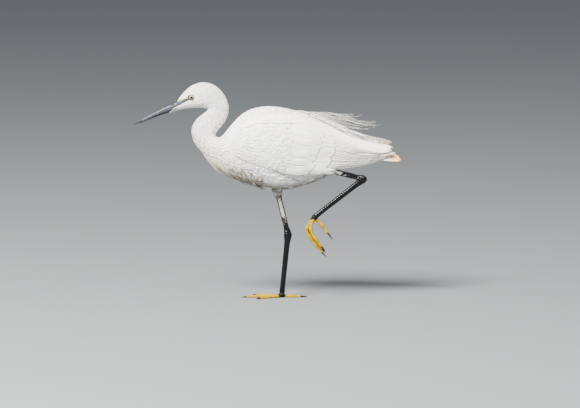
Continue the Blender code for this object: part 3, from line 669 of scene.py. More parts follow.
def feather_blank(name, outline, across, camber, thick, fray=0.0):
    """One feather, 1 long and 1 wide, lying flat along X with its root at the origin.

    outline gives its half width at each share of its length. Its section is a low roof, closed
    below, and its height is stored so that it can be laid on any surface. A flat blank has no inside
    to tell, so its faces are turned by the order of its points.
    """
    steps = len(outline)
    middle = len(across) // 2
    verts, along, height = [], [], []
    for i, (share, half) in enumerate(outline):
        for j, place in enumerate(across):
            reach = share - fray * abs(place) ** 1.5 * (i == steps - 1) - fray * 0.5 * (j % 2) * (i > 1)
            verts.append((reach, place * half, 0.0))
            along.append(share)
            height.append(camber * (1 - place**2) + (0.25 * thick if j == middle else 0))
        verts.append((share, 0.0, 0.0))
        along.append(share)
        height.append(-thick)
    sides = len(across) + 1
    made = new_object(name, np.array(verts) / MM, round_faces(steps, sides))
    made.data.flip_normals()
    made.data.shade_smooth()
    add_field(made.data, "along", along)
    add_field(made.data, "across", np.array([v.co.y for v in made.data.vertices]) + 0.5)
    add_field(made.data, "height", np.array(height) * MM)
    return made


COMB_INPUTS = (
    ("Skin", "NodeSocketGeometry"),
    ("Feather", "NodeSocketObject"),
    ("Spacing", "NodeSocketFloat"),
    ("Tousle", "NodeSocketFloat"),
    ("Seed", "NodeSocketInt"),
    ("Finish", "NodeSocketMaterial"),
)
PATCH = 0.003


def comb_tree():
    """Sets feathers over a skin, scales each by the skin's own fields, and lays it down along them."""
    tree = bpy.data.node_groups.new("comb_feathers", "GeometryNodeTree")
    for name, kind in COMB_INPUTS:
        tree.interface.new_socket(name, in_out="INPUT", socket_type=kind)
    tree.interface.new_socket("Coat", in_out="OUTPUT", socket_type="NodeSocketGeometry")
    bench = Bench(tree)
    given = tree.nodes.new("NodeGroupInput").outputs
    skin_in, feather, spacing, tousle, seed, finish = [Wire(bench, socket) for socket in given][:6]

    scattered = bench.add(
        "GeometryNodeDistributePointsOnFaces",
        {"distribute_method": "POISSON"},
        {
            "Mesh": skin_in,
            "Distance Min": spacing,
            "Density Max": 2.4 / (spacing * spacing),
            "Density Factor": bench.field("cover"),
            "Seed": seed,
        },
    )

    def drawn(low, high, offset):
        """A random number for each feather."""
        return bench.add(
            "FunctionNodeRandomValue",
            {"data_type": "FLOAT"},
            {2: low, 3: high, 8: seed + offset},
            1,
        )

    up = bench.field("up", "FLOAT_VECTOR")
    turned = bench.add(
        "ShaderNodeVectorRotate",
        {"rotation_type": "AXIS_ANGLE"},
        {"Vector": bench.field("lie", "FLOAT_VECTOR"), "Axis": up, "Angle": drawn(-1, 1, 1) * tousle},
    )
    pose = bench.add(
        "FunctionNodeAxesToRotation",
        {"primary_axis": "Z", "secondary_axis": "X"},
        {"Primary Axis": up, "Secondary Axis": turned},
    )
    length = bench.field("long") * drawn(0.82, 1.15, 2)
    breadth = bench.field("broad") * drawn(0.85, 1.15, 3)
    size = bench.add("ShaderNodeCombineXYZ", {}, {0: length, 1: breadth, 2: 1.0})
    shape = bench.add("GeometryNodeObjectInfo", {}, {"Object": feather}, "Geometry")
    placed = bench.add(
        "GeometryNodeInstanceOnPoints",
        {},
        {"Points": scattered, "Instance": shape, "Rotation": pose, "Scale": size},
    )
    named = bench.add(
        "GeometryNodeStoreNamedAttribute",
        {"data_type": "FLOAT", "domain": "INSTANCE"},
        {"Geometry": placed, "Name": "tone", "Value": drawn(0, 1, 4)},
    )
    patched = bench.add(
        "GeometryNodeStoreNamedAttribute",
        {"data_type": "FLOAT_VECTOR", "domain": "INSTANCE"},
        {"Geometry": named, "Name": "root_place", "Value": bench.field("OFBake", "FLOAT_VECTOR")},
    )
    real = bench.add("GeometryNodeRealizeInstances", {}, {"Geometry": patched})
    place = bench.add("GeometryNodeInputPosition")
    nearest = bench.add(
        "GeometryNodeProximity",
        {"target_element": "FACES"},
        {0: skin_in, "Sample Position": place},
    )
    surface_up = bench.add(
        "GeometryNodeSampleNearestSurface",
        {"data_type": "FLOAT_VECTOR"},
        {"Mesh": skin_in, "Value": bench.field("up", "FLOAT_VECTOR"), "Sample Position": place},
    )
    along = bench.field("along")
    rise = bench.field("rise") * (0.75 + 0.45 * bench.field("tone"))
    height = bench.field("height") * bench.field("full") + rise * (along**1.15) - 0.0002
    lifted = bench.add("ShaderNodeVectorMath", {"operation": "SCALE"}, {0: surface_up, "Scale": height})
    laid = bench.add("ShaderNodeVectorMath", {"operation": "ADD"}, {0: nearest, 1: lifted})
    combed = bench.add("GeometryNodeSetPosition", {}, {"Geometry": real, "Position": laid})
    across = bench.field("across")
    spot = bench.add("ShaderNodeCombineXYZ", {}, {0: (across - 0.5) * PATCH, 1: (along - 0.5) * PATCH})
    own_place = bench.add(
        "ShaderNodeVectorMath",
        {"operation": "ADD"},
        {0: bench.field("root_place", "FLOAT_VECTOR"), 1: spot},
    )
    mapped = bench.add(
        "GeometryNodeStoreNamedAttribute",
        {"data_type": "FLOAT2", "domain": "CORNER"},
        {"Geometry": combed, "Name": "OFBake", "Value": own_place},
    )
    done = bench.add("GeometryNodeSetMaterial", {}, {"Geometry": mapped, "Material": finish})
    tree.links.new(done.socket, tree.nodes.new("NodeGroupOutput").inputs[0])
    return tree


comb_feathers = comb_tree()
COMB_FIELDS = ("lie", "up", "long", "broad", "rise", "full", "cover")
SPENT_FIELDS = (*COMB_FIELDS, "root_place", "height", "lore", "lore_across")


def drop_fields(mesh, names):
    """Removes stored values that nothing reads any more."""
    for name in names:
        if name in mesh.attributes:
            mesh.attributes.remove(mesh.attributes[name])


def comb(name, ground, cover, feather, spacing, tousle, seed):
    """One piece of the coat, over the part of the ground where cover is above 0."""
    ground.data.attributes["cover"].data.foreach_set("value", np.asarray(cover, float))
    made = bpy.data.objects.new(name, ground.data.copy())
    bpy.context.scene.collection.objects.link(made)
    modifier = made.modifiers.new("comb", "NODES")
    modifier.node_group = comb_feathers
    values = {
        "Feather": feather,
        "Spacing": spacing * MM,
        "Tousle": math.radians(tousle),
        "Seed": seed,
        "Finish": small_finish,
    }
    for item in comb_feathers.interface.items_tree:
        if item.in_out == "INPUT" and item.name in values:
            modifier[item.identifier] = values[item.name]
    plain_mesh(made)
    drop_fields(made.data, SPENT_FIELDS)
    made.data.shade_smooth()
    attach(made, "root")
    return made


def ready_to_comb(mesh, lie, long, broad, rise, full):
    """Stores on a skin all that the feathers set on it will read."""
    normals = np.zeros(len(mesh.vertices) * 3)
    mesh.vertices.foreach_get("normal", normals)
    add_field(mesh, "up", normals.reshape(-1, 3))
    add_field(mesh, "lie", lie)
    for name, values in (("long", long), ("broad", broad), ("rise", rise)):
        add_field(mesh, name, np.asarray(values) * MM)
    add_field(mesh, "full", full)
    add_field(mesh, "cover", np.zeros(len(mesh.vertices)))


WHITE = (0.93, 0.925, 0.91)


def feather_finish(name, painted_root_shade=0.90, tip=WHITE):
    """White feathers: each a little different, darker towards its root as painted shade where others lie
    over it, with the bird's markings and painted shade.
    """
    finish = Finish(name, Roughness=0.78, Sheen_Weight=0.12, Sheen_Roughness=0.5)
    tone, along = finish.stored("tone"), finish.stored("along")
    # Painted shade: each feather darkens towards its root, where the feathers over it lie.
    white = finish.blend(tuple(c * painted_root_shade for c in tip), tip, (along * 1.6).bounded())
    white = finish.blend(white, (0.86, 0.845, 0.81), tone * 0.25)
    finish.set("Base Color", markings_and_shade(finish, white))
    return finish.material


small_finish = feather_finish("small_feathers")

KEYS_OF_SIZES = (0, 18, 60, NECK_START, BODY_KEYS[7], BREAST_START, TORSO_START, BODY_KEYS[13], BODY_END)
LENGTHS = (3.0, 5.5, 9.0, 10.5, 12.0, 16.0, 24.0, 30.0, 32.0)
BREADTHS = (0.6, 0.75, 0.95, 1.15, 1.4, 2.3, 3.6, 4.4, 4.4)
RISES = (0.45, 0.65, 0.9, 1.05, 1.2, 1.5, 1.9, 2.1, 2.0)

skin_lie, skin_key, skin_angle, skin_part = known[:, :3], known[:, 3], known[:, 4], known[:, 7]
on_thigh = skin_part != 0
feather_long = np.where(on_thigh, mix(26, 16, skin_key), np.interp(skin_key, KEYS_OF_SIZES, LENGTHS))
feather_broad = np.where(on_thigh, mix(3.8, 1.4, skin_key), np.interp(skin_key, KEYS_OF_SIZES, BREADTHS))
feather_rise = np.where(on_thigh, mix(2.0, 1.2, skin_key), np.interp(skin_key, KEYS_OF_SIZES, RISES))
body_key = np.where(on_thigh, BODY_END, skin_key)
feather_full = np.interp(body_key, (0, BREAST_START), (0.5, 1.0))
ready_to_comb(skin.data, skin_lie, feather_long, feather_broad, feather_rise, feather_full)

EYE_CLEARING, BARE_LORE = 5.9, 0.35
eye_x, _, eye_z = eye_centre(LEFT)
clear_of_eye = np.hypot(skin_points[:, 0] - eye_x, skin_points[:, 2] - eye_z) > EYE_CLEARING
bare = (lore > BARE_LORE) | ~clear_of_eye | ((skin_key < -1) & ~on_thigh)
shown = ~bare & ~np.where(on_thigh, inside_wing(skin_points), under_wing(skin_points, skin_angle))

HAIR_OUTLINE = ((0, 0.32), (0.45, 0.5), (0.8, 0.34), (1.0, 0.04))
BODY_OUTLINE = ((0, 0.22), (0.3, 0.45), (0.6, 0.5), (0.85, 0.36), (1.0, 0.12))
hair = feather_blank("hair_blank", HAIR_OUTLINE, (-1, 0, 1), 0.12, 0.1)
contour = feather_blank("contour_blank", BODY_OUTLINE, (-1, -0.5, 0, 0.5, 1), 0.20, 0.15, 0.05)

in_head = shown & (skin_key < NECK_START) & ~on_thigh
in_neck = shown & (skin_key >= NECK_START) & (skin_key < BREAST_START + 10) & ~on_thigh
in_body = shown & ~in_head & ~in_neck
behind = in_body & ((skin_key > TORSO_START + 25) | on_thigh)
comb("coat_head", skin, in_head, hair, spacing=0.95, tousle=9, seed=3)
comb("coat_neck", skin, in_neck, hair, spacing=1.45, tousle=8, seed=5)
comb("coat_breast", skin, in_body & ~behind, contour, spacing=2.0, tousle=9, seed=7)
comb("coat_body", skin, behind, contour, spacing=2.7, tousle=9, seed=9)
for blank in (hair, contour):
    bpy.data.objects.remove(blank)
drop_fields(skin.data, COMB_FIELDS)

# The breast plumes. Long lance-shaped feathers hang from the lower foreneck, their loose barbs worn
# into strands that part, show the feathers behind them darkened by painted shade and hang a little free of
# the belly.

BREAST_PLUMES, STRANDS_EACH, STRAND_STEPS = 96, 6, 7
ROOT_KEYS, ROOT_DEGREES, PLUME_REACH = (-4, 62), (14, 66), (24, 36)


def add_uv(mesh, name, places):
    """Lays a mesh out flat, from a place for each point."""
    mesh.uv_layers.new(name=name).data.foreach_set("uv", at_corners(mesh, places).ravel())


class Gathered:
    """A piece in the making: many closed forms in one mesh. Each of their points has a number for
    every field and a place on every flat pattern."""

    FIELDS, PATTERNS = ("along", "tone"), ("OFBake",)

    def __init__(self):
        self.verts, self.faces, self.fields, self.places = [], [], [], []

    def gather(self, points, faces):
        """Adds one closed form to the piece."""
        start = len(self.verts)
        self.verts += points.reshape(-1, 3).tolist()
        self.faces += [[start + corner for corner in face] for face in faces]

    def build(self, name, material):
        made = outwards(new_object(name, self.verts, self.faces))
        for field, values in zip(self.FIELDS, np.transpose(self.fields)):
            add_field(made.data, field, values)
        for index, pattern in enumerate(self.PATTERNS):
            add_uv(made.data, pattern, np.array(self.places)[:, index])
        made.data.materials.append(material)
        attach(made, "root")
        return made


class Strands(Gathered):
    """Gathers thin closed strips along paths, each tapering to its end."""

    def add(self, path, widths, thick, side, root_place, tone):
        """path is the strip's middle line, side points across it, widths are its half widths."""
        path = np.asarray(path)
        ahead = directions(path)
        side = unit(side - ahead * np.sum(side * ahead, axis=1, keepdims=True))
        up = np.cross(ahead, side)
        widths = np.asarray(widths)[:, None]
        height = thick * widths / widths.max()
        rings = np.stack((path - side * widths, path + up * height, path + side * widths), axis=1)
        self.gather(rings, round_faces(len(path), 3))
        for share in np.linspace(0, 1, len(path)):
            for edge in (-0.5, 0, 0.5):
                spot = (root_place[0] + edge * PATCH, root_place[1] + (share - 0.5) * PATCH)
                self.places.append((spot,))
                self.fields.append((share, tone))


def body_place(key, degrees):
    """Where a point of the body lies on the skin's flat pattern."""
    return on_pattern(BODY_PATTERN, (degrees % 360) / 360, key / BODY_END)


def body_side(key, degrees):
    """The way round the body at a point, for strands that lie flat on it."""
    return body_point(key, degrees + 3) - body_point(key, degrees - 3)


draw = np.random.default_rng(41)
plume_finish = feather_finish("plumes", 0.86)
breast_plumes = Strands()
for i in range(BREAST_PLUMES):
    hand = 1 if i % 2 else -1
    start_angle = 180 - hand * draw.uniform(*ROOT_DEGREES)
    end_angle = 180 - hand * (abs(180 - start_angle) * draw.uniform(0.10, 0.34) - 3)
    start_key = BREAST_START + draw.uniform(*ROOT_KEYS)
    hangs = i % 5 == 0
    reach = draw.uniform(*PLUME_REACH) + 7 * hangs
    tip_lift = draw.uniform(0.3, 1.0) ** 2 * 4.2 + 3.0 * hangs
    tone = draw.uniform()
    for j in range(STRANDS_EACH):
        fan = j / (STRANDS_EACH - 1) - 0.5 + draw.uniform(-0.1, 0.1)
        shares = np.linspace(0, 1, STRAND_STEPS)
        key = start_key + (reach + draw.uniform(-7, 5)) * shares
        parted = np.interp(shares, (0, 0.5, 1), (0.35, 0.8, 1.1))
        degrees = mix(start_angle, end_angle, shares) + fan * 5.4 * parted
        lift = np.interp(shares, (0, 0.25, 1), (-2.6, -0.1, 0.4)) + tip_lift * shares**2.5
        lift = lift + draw.uniform(-0.35, 0.35)
        path = body_point(key, degrees, lift)
        widths = np.interp(shares, (0, 0.5, 0.85, 1), (0.50, 0.58, 0.36, 0.06))
        place = body_place(start_key, start_angle + fan)
        breast_plumes.add(path, widths, 0.35, body_side(key, degrees), place, tone)
breast_plumes.build("breast_plumes", plume_finish)

# The back plumes. A spray of long filmy feathers grows from between the shoulders and lies over the
# folded wings. Each is a fine shaft with loose barbs that don't hook together. Most lie close and
# make a soft white edge, and a few stand above them as single hairs whose ends curl up.

CLOSE_PLUMES, CLOSE_ROOTS, CLOSE_LENGTHS = 44, (34, 74), (72, 112)
LOOSE_PLUMES, LOOSE_ROOTS, LOOSE_LENGTHS = 17, (44, 78), (88, 120)
CLOSE_BARBS, CLOSE_BARB_WIDTH = 46, 0.30
LOOSE_BARBS, LOOSE_BARB_WIDTH = 13, 0.10
PLUME_STEPS, BARB_STEPS, BARB_LENGTHS = 16, 6, (15, 27)
# The height of each spray's ridge over the back, at each x.
CLOSE_RIDGE = (
    (40, 322),
    (60, 320),
    (78, 315.5),
    (95, 309.5),
    (110, 302),
    (125, 295),
    (140, 287),
    (171, 278),
    (215, 268),
)
LOOSE_RIDGE = ((40, 322), (65, 320), (95, 318), (133, 311), (156, 301), (186, 295), (215, 292))


def wing_height(x, across):
    """How high the folded wings stand at a place seen from above."""
    _, back_z, _, belly_z, half_width = np.moveaxis(read_wing(x)[..., :5], -1, 0)
    turn = np.arcsin(np.minimum(1.0, np.abs(across) / half_width) ** (1 / WING_BOX))
    return (back_z + belly_z) / 2 + (back_z - belly_z) / 2 * np.cos(turn)


def back_plume(plumes, fan, root_x, length, standing, curl, barbs, barb_width):
    """One plume. standing says how far it rises from the close ridge, at 0, to the loose one, at 1."""
    shares = np.linspace(0, 1, PLUME_STEPS)
    x = root_x + length * shares
    y = fan * (5 + 12 * shares) + draw.uniform(-2, 2) * shares
    close = np.interp(x, *np.transpose(CLOSE_RIDGE)) - 6.0 * fan**2
    loose = np.interp(x, *np.transpose(LOOSE_RIDGE)) - 3.0 * fan**2
    own = np.clip(standing, 0, 1) * np.clip(shares * 2.2, 0, 1)
    sunk = 5.0 * min(standing, 0) * np.clip(shares * 2, 0, 1)
    sunk = sunk - 7.0 * np.clip(1 - shares * 3.5, 0, 1) ** 2
    turned_up = curl * np.clip(shares - 0.55, 0, 1) ** 2 / 0.2
    over_wing = wing_height(x, y) + 1.2 * np.clip(shares * 3, 0, 1)
    z = np.maximum(mix(close, loose, own) + sunk, over_wing) + turned_up
    shaft = np.stack((x - turned_up * 0.5, y, z), axis=-1)
    place, tone = body_place(TORSO_START + root_x + 50, -fan * 14), draw.uniform()
    sideways = np.tile((0.0, 1.0, 0.0), (PLUME_STEPS, 1))
    full = barbs == CLOSE_BARBS
    shaft_widths = np.interp(shares, (0, 0.7, 1), (0.42, 0.25, 0.08)) * (1.0 if full else 0.6)
    plumes.add(shaft, shaft_widths, 0.4, sideways, place, tone)
    read_shaft = spline(shares, shaft)
    spread = 1.0 if full else 1.8
    for j in range(barbs):
        root = mix(0.10, 0.985, (j + draw.uniform(0, 1)) / barbs)
        hand = 1 if j % 2 else -1
        barb_length = draw.uniform(*BARB_LENGTHS) * np.interp(root, (0.1, 0.4, 1), (0.8, 1, 0.5)) / length
        steps = np.linspace(0, 1, BARB_STEPS)
        barb = read_shaft(np.minimum(root + barb_length * steps, 1.06))
        away = hand * draw.uniform(1.8, 4.2) * np.sin(steps * 1.7)
        barb[:, 1] += away
        barb[:, 2] += draw.uniform(-1.3, 1.5) * spread * steps**1.5 - 0.05 * np.abs(away)
        widths = np.interp(steps, (0, 0.6, 1), (1.0, 0.8, 0.2)) * barb_width * (1.35 - 0.4 * root)
        plumes.add(barb, widths, 0.2, np.tile((0.0, 1.0, 0.2), (BARB_STEPS, 1)), place, tone)


back_plumes, loose_plumes = Strands(), Strands()
for i in range(CLOSE_PLUMES):
    fan = mix(-1, 1, (i + draw.uniform(0.2, 0.8)) / CLOSE_PLUMES)
    root_x, length = draw.uniform(*CLOSE_ROOTS), draw.uniform(*CLOSE_LENGTHS)
    standing, curl = -draw.uniform(0, 1), draw.uniform(0, 2)
    back_plume(back_plumes, fan, root_x, length, standing, curl, CLOSE_BARBS, CLOSE_BARB_WIDTH)
for i in range(LOOSE_PLUMES):
    fan = mix(-0.8, 0.8, (i + draw.uniform(0.2, 0.8)) / LOOSE_PLUMES)
    root_x, length = draw.uniform(*LOOSE_ROOTS), draw.uniform(*LOOSE_LENGTHS)
    standing, curl = draw.uniform(0.1, 1.0), draw.uniform(3, 15)
    back_plume(loose_plumes, fan, root_x, length, standing, curl, LOOSE_BARBS, LOOSE_BARB_WIDTH)
back_plumes.build("back_plumes", plume_finish)
# Painted shade: the loose plumes are white, and their grey-brown colour stands in for the shade on their
# thin hairs.
filmy = feather_finish("filmy_plumes", 0.8, (0.46, 0.44, 0.39))
loose_plumes.build("loose_plumes", filmy)

# The wings. Each is folded: a thin arm lies against the body, small coverts shingle its front half,
# and behind them come the greater coverts, the flight feathers in their tiers and the long scapulars
# of the shoulder, laid over the top edge.

SIDE_NAMES = {LEFT: "left", RIGHT: "right"}
WING_FULLER, LEFT_DROOP, LEFT_TURN = 0.15, 6.0, 22.0
ARM_START, ARM_END, ARM_LIFT = -78.0, 112.0, 0.6
ARM_ROWS, ARM_COLUMNS = 64, 34
# Where the small coverts end, and, at each x before that, their lengths, breadths and rises.
COVERTS_END, COVERTS_AT = 64, (-70, -40, 0, 60)
COVERT_SIZES = ((15, 20, 26, 32), (2.8, 4.0, 5.4, 6.6), (0.3, 0.36, 0.4, 0.45))
DRAPE_DEGREES, DRAPE_LIFT = 7.0, 5.5


def over_thigh(x, degrees):
    """How much further out and down the left wing's lower edge lies where it drapes over the thigh."""
    low_down = np.clip((degrees - 100) / 24, 0, 1)
    return np.exp(-(((x - 98) / 24) ** 2)) * low_down * low_down * (3 - 2 * low_down)


def wing_point(side, x, degrees, lift=0.0):
    """Points over the folded wing: x along the bird, degrees from the back down, lift outwards."""
    if side == LEFT:
        drape = over_thigh(x, degrees)
        degrees, lift = degrees + DRAPE_DEGREES * drape, lift + DRAPE_LIFT * drape
    back_x, back_z, belly_x, belly_z, half_width = np.moveaxis(read_wing(x)[..., :5], -1, 0)
    turn = np.radians(degrees)
    up_x, up_z = (back_x - belly_x) / 2, (back_z - belly_z) / 2
    depth = np.hypot(up_x, up_z)
    level = np.cos(turn)
    out = np.abs(np.sin(turn)) ** WING_BOX
    out = out * (1 + WING_FULLER * np.interp(x, (60, 125), (1, 0)) * level)
    normal_up, normal_out = level / depth, np.sin(turn) / half_width
    size = np.hypot(normal_up, normal_out)
    height = level + lift * normal_up / size / depth
    point_x = (back_x + belly_x) / 2 + up_x * height
    point_z = (back_z + belly_z) / 2 + up_z * height
    point_y = side * (half_width * out + lift * normal_out / size)
    if side == LEFT:
        point_z = point_z - LEFT_DROOP * np.clip((x - 90) / 120, 0, None) ** 2
    return np.stack(np.broadcast_arrays(point_x, point_y, point_z), axis=-1)


def plate_faces(rows, columns):
    """The faces of a thin closed plate: its upper grid of points, then its lower one, then the rim."""
    total = rows * columns
    upper = []
    for i in range(rows - 1):
        for j in range(columns - 1):
            a = i * columns + j
            upper.append((a, a + 1, a + columns + 1, a + columns))
    lower = [tuple(corner + total for corner in reversed(face)) for face in upper]
    rim = [j for j in range(columns)]
    rim += [i * columns + columns - 1 for i in range(1, rows)]
    rim += [(rows - 1) * columns + j for j in range(columns - 2, -1, -1)]
    rim += [i * columns for i in range(rows - 2, 0, -1)]
    edge = [(b, a, a + total, b + total) for a, b in zip(rim, rim[1:] + rim[:1])]
    return upper + lower + edge


def wing_arm(side):
    """The folded arm and its skin, closed, with all that the coverts on it will read."""
    xs = np.linspace(ARM_START, ARM_END, ARM_ROWS)
    shares = np.linspace(0, 1, ARM_COLUMNS)
    top, low = np.moveaxis(read_wing(xs)[:, 5:], -1, 0)
    degrees = mix(top[:, None], low[:, None], shares[None])
    edge = np.sin(math.pi * shares) ** 0.5 * np.interp(xs, (ARM_START, -36), (-0.7, 1))[:, None]
    outer = wing_point(side, xs[:, None], degrees, mix(-2.2, ARM_LIFT, edge))
    inner = wing_point(side, xs[:, None], degrees, np.interp(xs, (60, 112), (-5.5, -1.6))[:, None])
    name = "arm_" + SIDE_NAMES[side]
    points = np.concatenate((outer.reshape(-1, 3), inner.reshape(-1, 3)))
    arm = outwards(new_object(name, points, plate_faces(*outer.shape[:2])))
    lie = unit(np.gradient(outer, axis=0) / 3.0 + np.gradient(outer, axis=1) * 0.10)
    lie = np.tile(lie.reshape(-1, 3), (2, 1))
    x = points[:, 0]
    long, broad, rise = (np.interp(x, COVERTS_AT, sizes) for sizes in COVERT_SIZES)
    ready_to_comb(arm.data, lie, long, broad, rise, np.ones(len(x)))
    u = np.tile(np.repeat(np.linspace(0.03, 0.47, ARM_ROWS), ARM_COLUMNS), 2)
    v = np.tile(np.tile(np.linspace(0.03, 0.97, ARM_COLUMNS), ARM_ROWS), 2)
    u[len(u) // 2 :] += 0.5
    add_uv(arm.data, "OFBake", np.stack((u, v), axis=-1))
    outside = np.arange(len(x)) < len(x) // 2
    return arm, outside & (x < COVERTS_END)


def wing_finish():
    """Flight feathers and coverts: white vanes, darker towards the root as painted shade, with a pale shaft
    and fine barbs slanting from it.
    """
    finish = Finish("wing_feathers", Roughness=0.72, Sheen_Weight=0.1, Sheen_Roughness=0.5)
    vane = finish.add("ShaderNodeUVMap", {"uv_map": "vane"})
    split = finish.add("ShaderNodeSeparateXYZ", {}, {0: vane}).socket.node
    across, along = (Wire(finish, output) for output in split.outputs[:2])
    tone, share = finish.stored("tone"), finish.stored("along")
    slanted = finish.add(
        "ShaderNodeCombineXYZ", {}, {0: along - abs(across) * 1.3, 1: across * 0.05}
    )
    barbs = finish.add(
        "ShaderNodeTexWave",
        {"wave_type": "BANDS", "bands_direction": "X"},
        {"Vector": slanted, "Scale": 30.0, "Distortion": 1.6, "Detail": 2.0},
    )
    shaft = (1.0 - abs(across) * 26.0).bounded()
    edge = finish.stored("edge")
    # Painted shade: each vane darkens towards its root, where the feathers over it lie.
    white = finish.blend((0.80, 0.785, 0.75), WHITE, (share * 1.8 + 0.25).bounded())
    white = finish.blend(white, (0.86, 0.845, 0.81), tone * 0.35 + barbs * 0.12)
    white = finish.blend(white, (0.83, 0.79, 0.70), shaft * 0.35)
    x = finish.axes()[0]
    rear = ((x - 0.10) / 0.09).bounded()
    white = finish.blend(white, (0.88, 0.77, 0.62), (rear * 0.50 + edge * rear * 0.2).bounded())
    finish.set("Base Color", markings_and_shade(finish, white))
    finish.relief(barbs * 0.35 + shaft * 0.8, 0.00018, 0.5)
    return finish.material


class Vanes(Gathered):
    """Gathers broad feathers, each a thin curved plate with its own cell of the flat pattern."""

    FIELDS, PATTERNS = ("along", "tone", "edge"), ("OFBake", "vane")
    CELLS = 12

    def add(self, upper, lower, across, tone):
        """upper and lower are grids of points, from root to tip and from edge to edge."""
        rows, columns = upper.shape[:2]
        count = len(self.verts) // (2 * rows * columns)
        cell = np.array((count % self.CELLS, count // self.CELLS)) / self.CELLS
        self.gather(np.stack((upper, lower)), plate_faces(rows, columns))
        length = np.linalg.norm(upper[-1, columns // 2] - upper[0, columns // 2])
        for layer in (0, 1):
            for i in range(rows):
                for j in range(columns):
                    share = i / (rows - 1)
                    u = (0.06 + 0.4 * j / (columns - 1) + 0.48 * layer) / self.CELLS
                    v = (0.06 + 0.88 * share) / self.CELLS
                    on_vane = (across[i, j] * MM * 10, length * share * MM * 10)
                    self.places.append(((cell[0] + u, cell[1] + v), on_vane))
                    self.fields.append((share, tone, abs(2 * j / (columns - 1) - 1) ** 4))


VANE_ROWS, VANE_COLUMNS = 17, 9
FLIGHT_SHAPE = ((0, 0.45), (0.25, 0.85), (0.5, 1.0), (0.74, 0.92), (0.87, 0.68), (0.95, 0.38), (1.0, 0.07))
COVERT_SHAPE = ((0, 0.6), (0.4, 0.95), (0.7, 1.0), (0.88, 0.80), (0.96, 0.5), (1.0, 0.25))
SCAPULAR_SHAPE = ((0, 0.3), (0.12, 0.7), (0.35, 1.0), (0.6, 0.85), (0.85, 0.5), (1.0, 0.1))
ROOT_SUNK = 2.6
# Each tier: how many feathers, the first and last one's root and tip as (x, degrees), the feather's
# width and shape, its height at root and tip, the rise for each next one, its thickness, and how far
# in degrees a tip may stray.
WING_TIERS = (
    (9, ((96, 120), (92, 84)), ((194, 121), (213, 70)), 14, FLIGHT_SHAPE, (-0.3, 0.2), 0.22, 0.20, 1.0),
    (12, ((84, 119), (78, 72)), ((172, 125), (198, 72)), 14, FLIGHT_SHAPE, (0.4, 1.6), 0.14, 0.18, 1.0),
    (6, ((80, 66), (66, 36)), ((166, 68), (212, 44)), 17, FLIGHT_SHAPE, (0.8, 3.4), 0.30, 0.35, 1.5),
    (20, ((52, 119), (56, 40)), ((104, 123), (126, 46)), 11, COVERT_SHAPE, (0.3, 2.0), 0.07, 0.25, 1.6),
    (20, ((28, 119), (32, 42)), ((76, 122), (98, 48)), 11, COVERT_SHAPE, (-1.2, 2.1), 0.06, 0.25, 1.6),
)
SCAPULARS = (
    (18, ((-24, 38), (66, 24)), ((18, 46), (138, 27)), 12, SCAPULAR_SHAPE, (-0.2, 1.3), 0.10, 0.25, 3.6),
    (16, ((-52, 46), (26, 25)), ((-30, 54), (66, 31)), 6.5, SCAPULAR_SHAPE, (-0.6, 1.2), 0.06, 0.25, 3.0),
)


def wing_vane(vanes, side, root, tip, width, shape, lifts, thick):
    """One feather of a tier, laid over the wing between its root and its tip."""
    shares = np.linspace(0, 1, VANE_ROWS) ** 0.85
    across = np.linspace(-1, 1, VANE_COLUMNS)
    half = width / 2 * np.interp(shares, *np.transpose(shape))
    half = half * (1 + draw.normal(0, 0.025, VANE_ROWS) * (shares > 0.2))
    x, degrees = mix(root[0], tip[0], shares), mix(root[1], tip[1], shares)
    degrees = degrees + draw.uniform(0.3, 1.2) * np.sin(shares * math.pi)
    if side == LEFT:
        rearward = np.clip((x - 112) / 80, 0, 1)
        degrees = degrees + LEFT_TURN * rearward * np.clip((95 - degrees) / 45, 0, 1)
    step = np.linalg.norm(wing_point(side, x, degrees + 1) - wing_point(side, x, degrees), axis=-1)
    spread = (half / step)[:, None] * across[None]
    sunk = ROOT_SUNK * np.clip(1 - shares / 0.14, 0, 1)
    lift = (mix(lifts[0], lifts[1], np.minimum(1.0, shares * 1.5)) - sunk)[:, None]
    dome = 0.10 * (1 - across**2)[None] + 0.05 * (np.abs(across) < 0.1)[None]
    depth = thick * (1 - 0.5 * across**2)[None]
    upper = wing_point(side, x[:, None], degrees[:, None] + spread, lift + dome)
    lower = wing_point(side, x[:, None], degrees[:, None] + spread, lift - depth)
    vanes.add(upper, lower, half[:, None] * across[None], draw.uniform())


def lay_tier(vanes, side, count, roots, tips, width, shape, lifts, rise, thick, stray):
    """One tier of feathers, from a row of WING_TIERS or SCAPULARS."""
    for i in range(count):
        share = i / (count - 1)
        root = (mix(roots[0][0], roots[1][0], share), mix(roots[0][1], roots[1][1], share))
        tip = (mix(tips[0][0], tips[1][0], share), mix(tips[0][1], tips[1][1], share))
        tip = (tip[0] + draw.uniform(-5, 3), tip[1] + draw.uniform(-stray, stray))
        own = (lifts[0] + rise * i, lifts[1] + rise * i)
        wing_vane(vanes, side, root, tip, width, shape, own, thick)


broad_finish = wing_finish()
COVERT_OUTLINE = ((0, 0.25), (0.35, 0.46), (0.68, 0.5), (0.88, 0.42), (1.0, 0.18))
covert = feather_blank("covert_blank", COVERT_OUTLINE, (-1, -0.5, 0, 0.5, 1), 0.09, 0.08, 0.03)
for side in (LEFT, RIGHT):
    arm, fledged = wing_arm(side)
    name = "coverts_" + SIDE_NAMES[side]
    coverts = comb(name, arm, fledged, covert, spacing=2.9, tousle=6, seed=21 + side)
    drop_fields(arm.data, COMB_FIELDS)
    arm.data.materials.append(skin_finish.material)
    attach(arm, "root")
    vanes = Vanes()
    for row in (*WING_TIERS, *SCAPULARS):
        lay_tier(vanes, side, *row)
    wing = vanes.build("flight_feathers_" + SIDE_NAMES[side], broad_finish)
    for piece in (arm, coverts, wing):
        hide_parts("wing_" + SIDE_NAMES[side])
bpy.data.objects.remove(covert)

# The flank feathers. Long soft feathers of the left flank hang from under the wing's lower edge and
# drape over the lifted thigh, so that only the lower part of the shank comes out of the plumage.

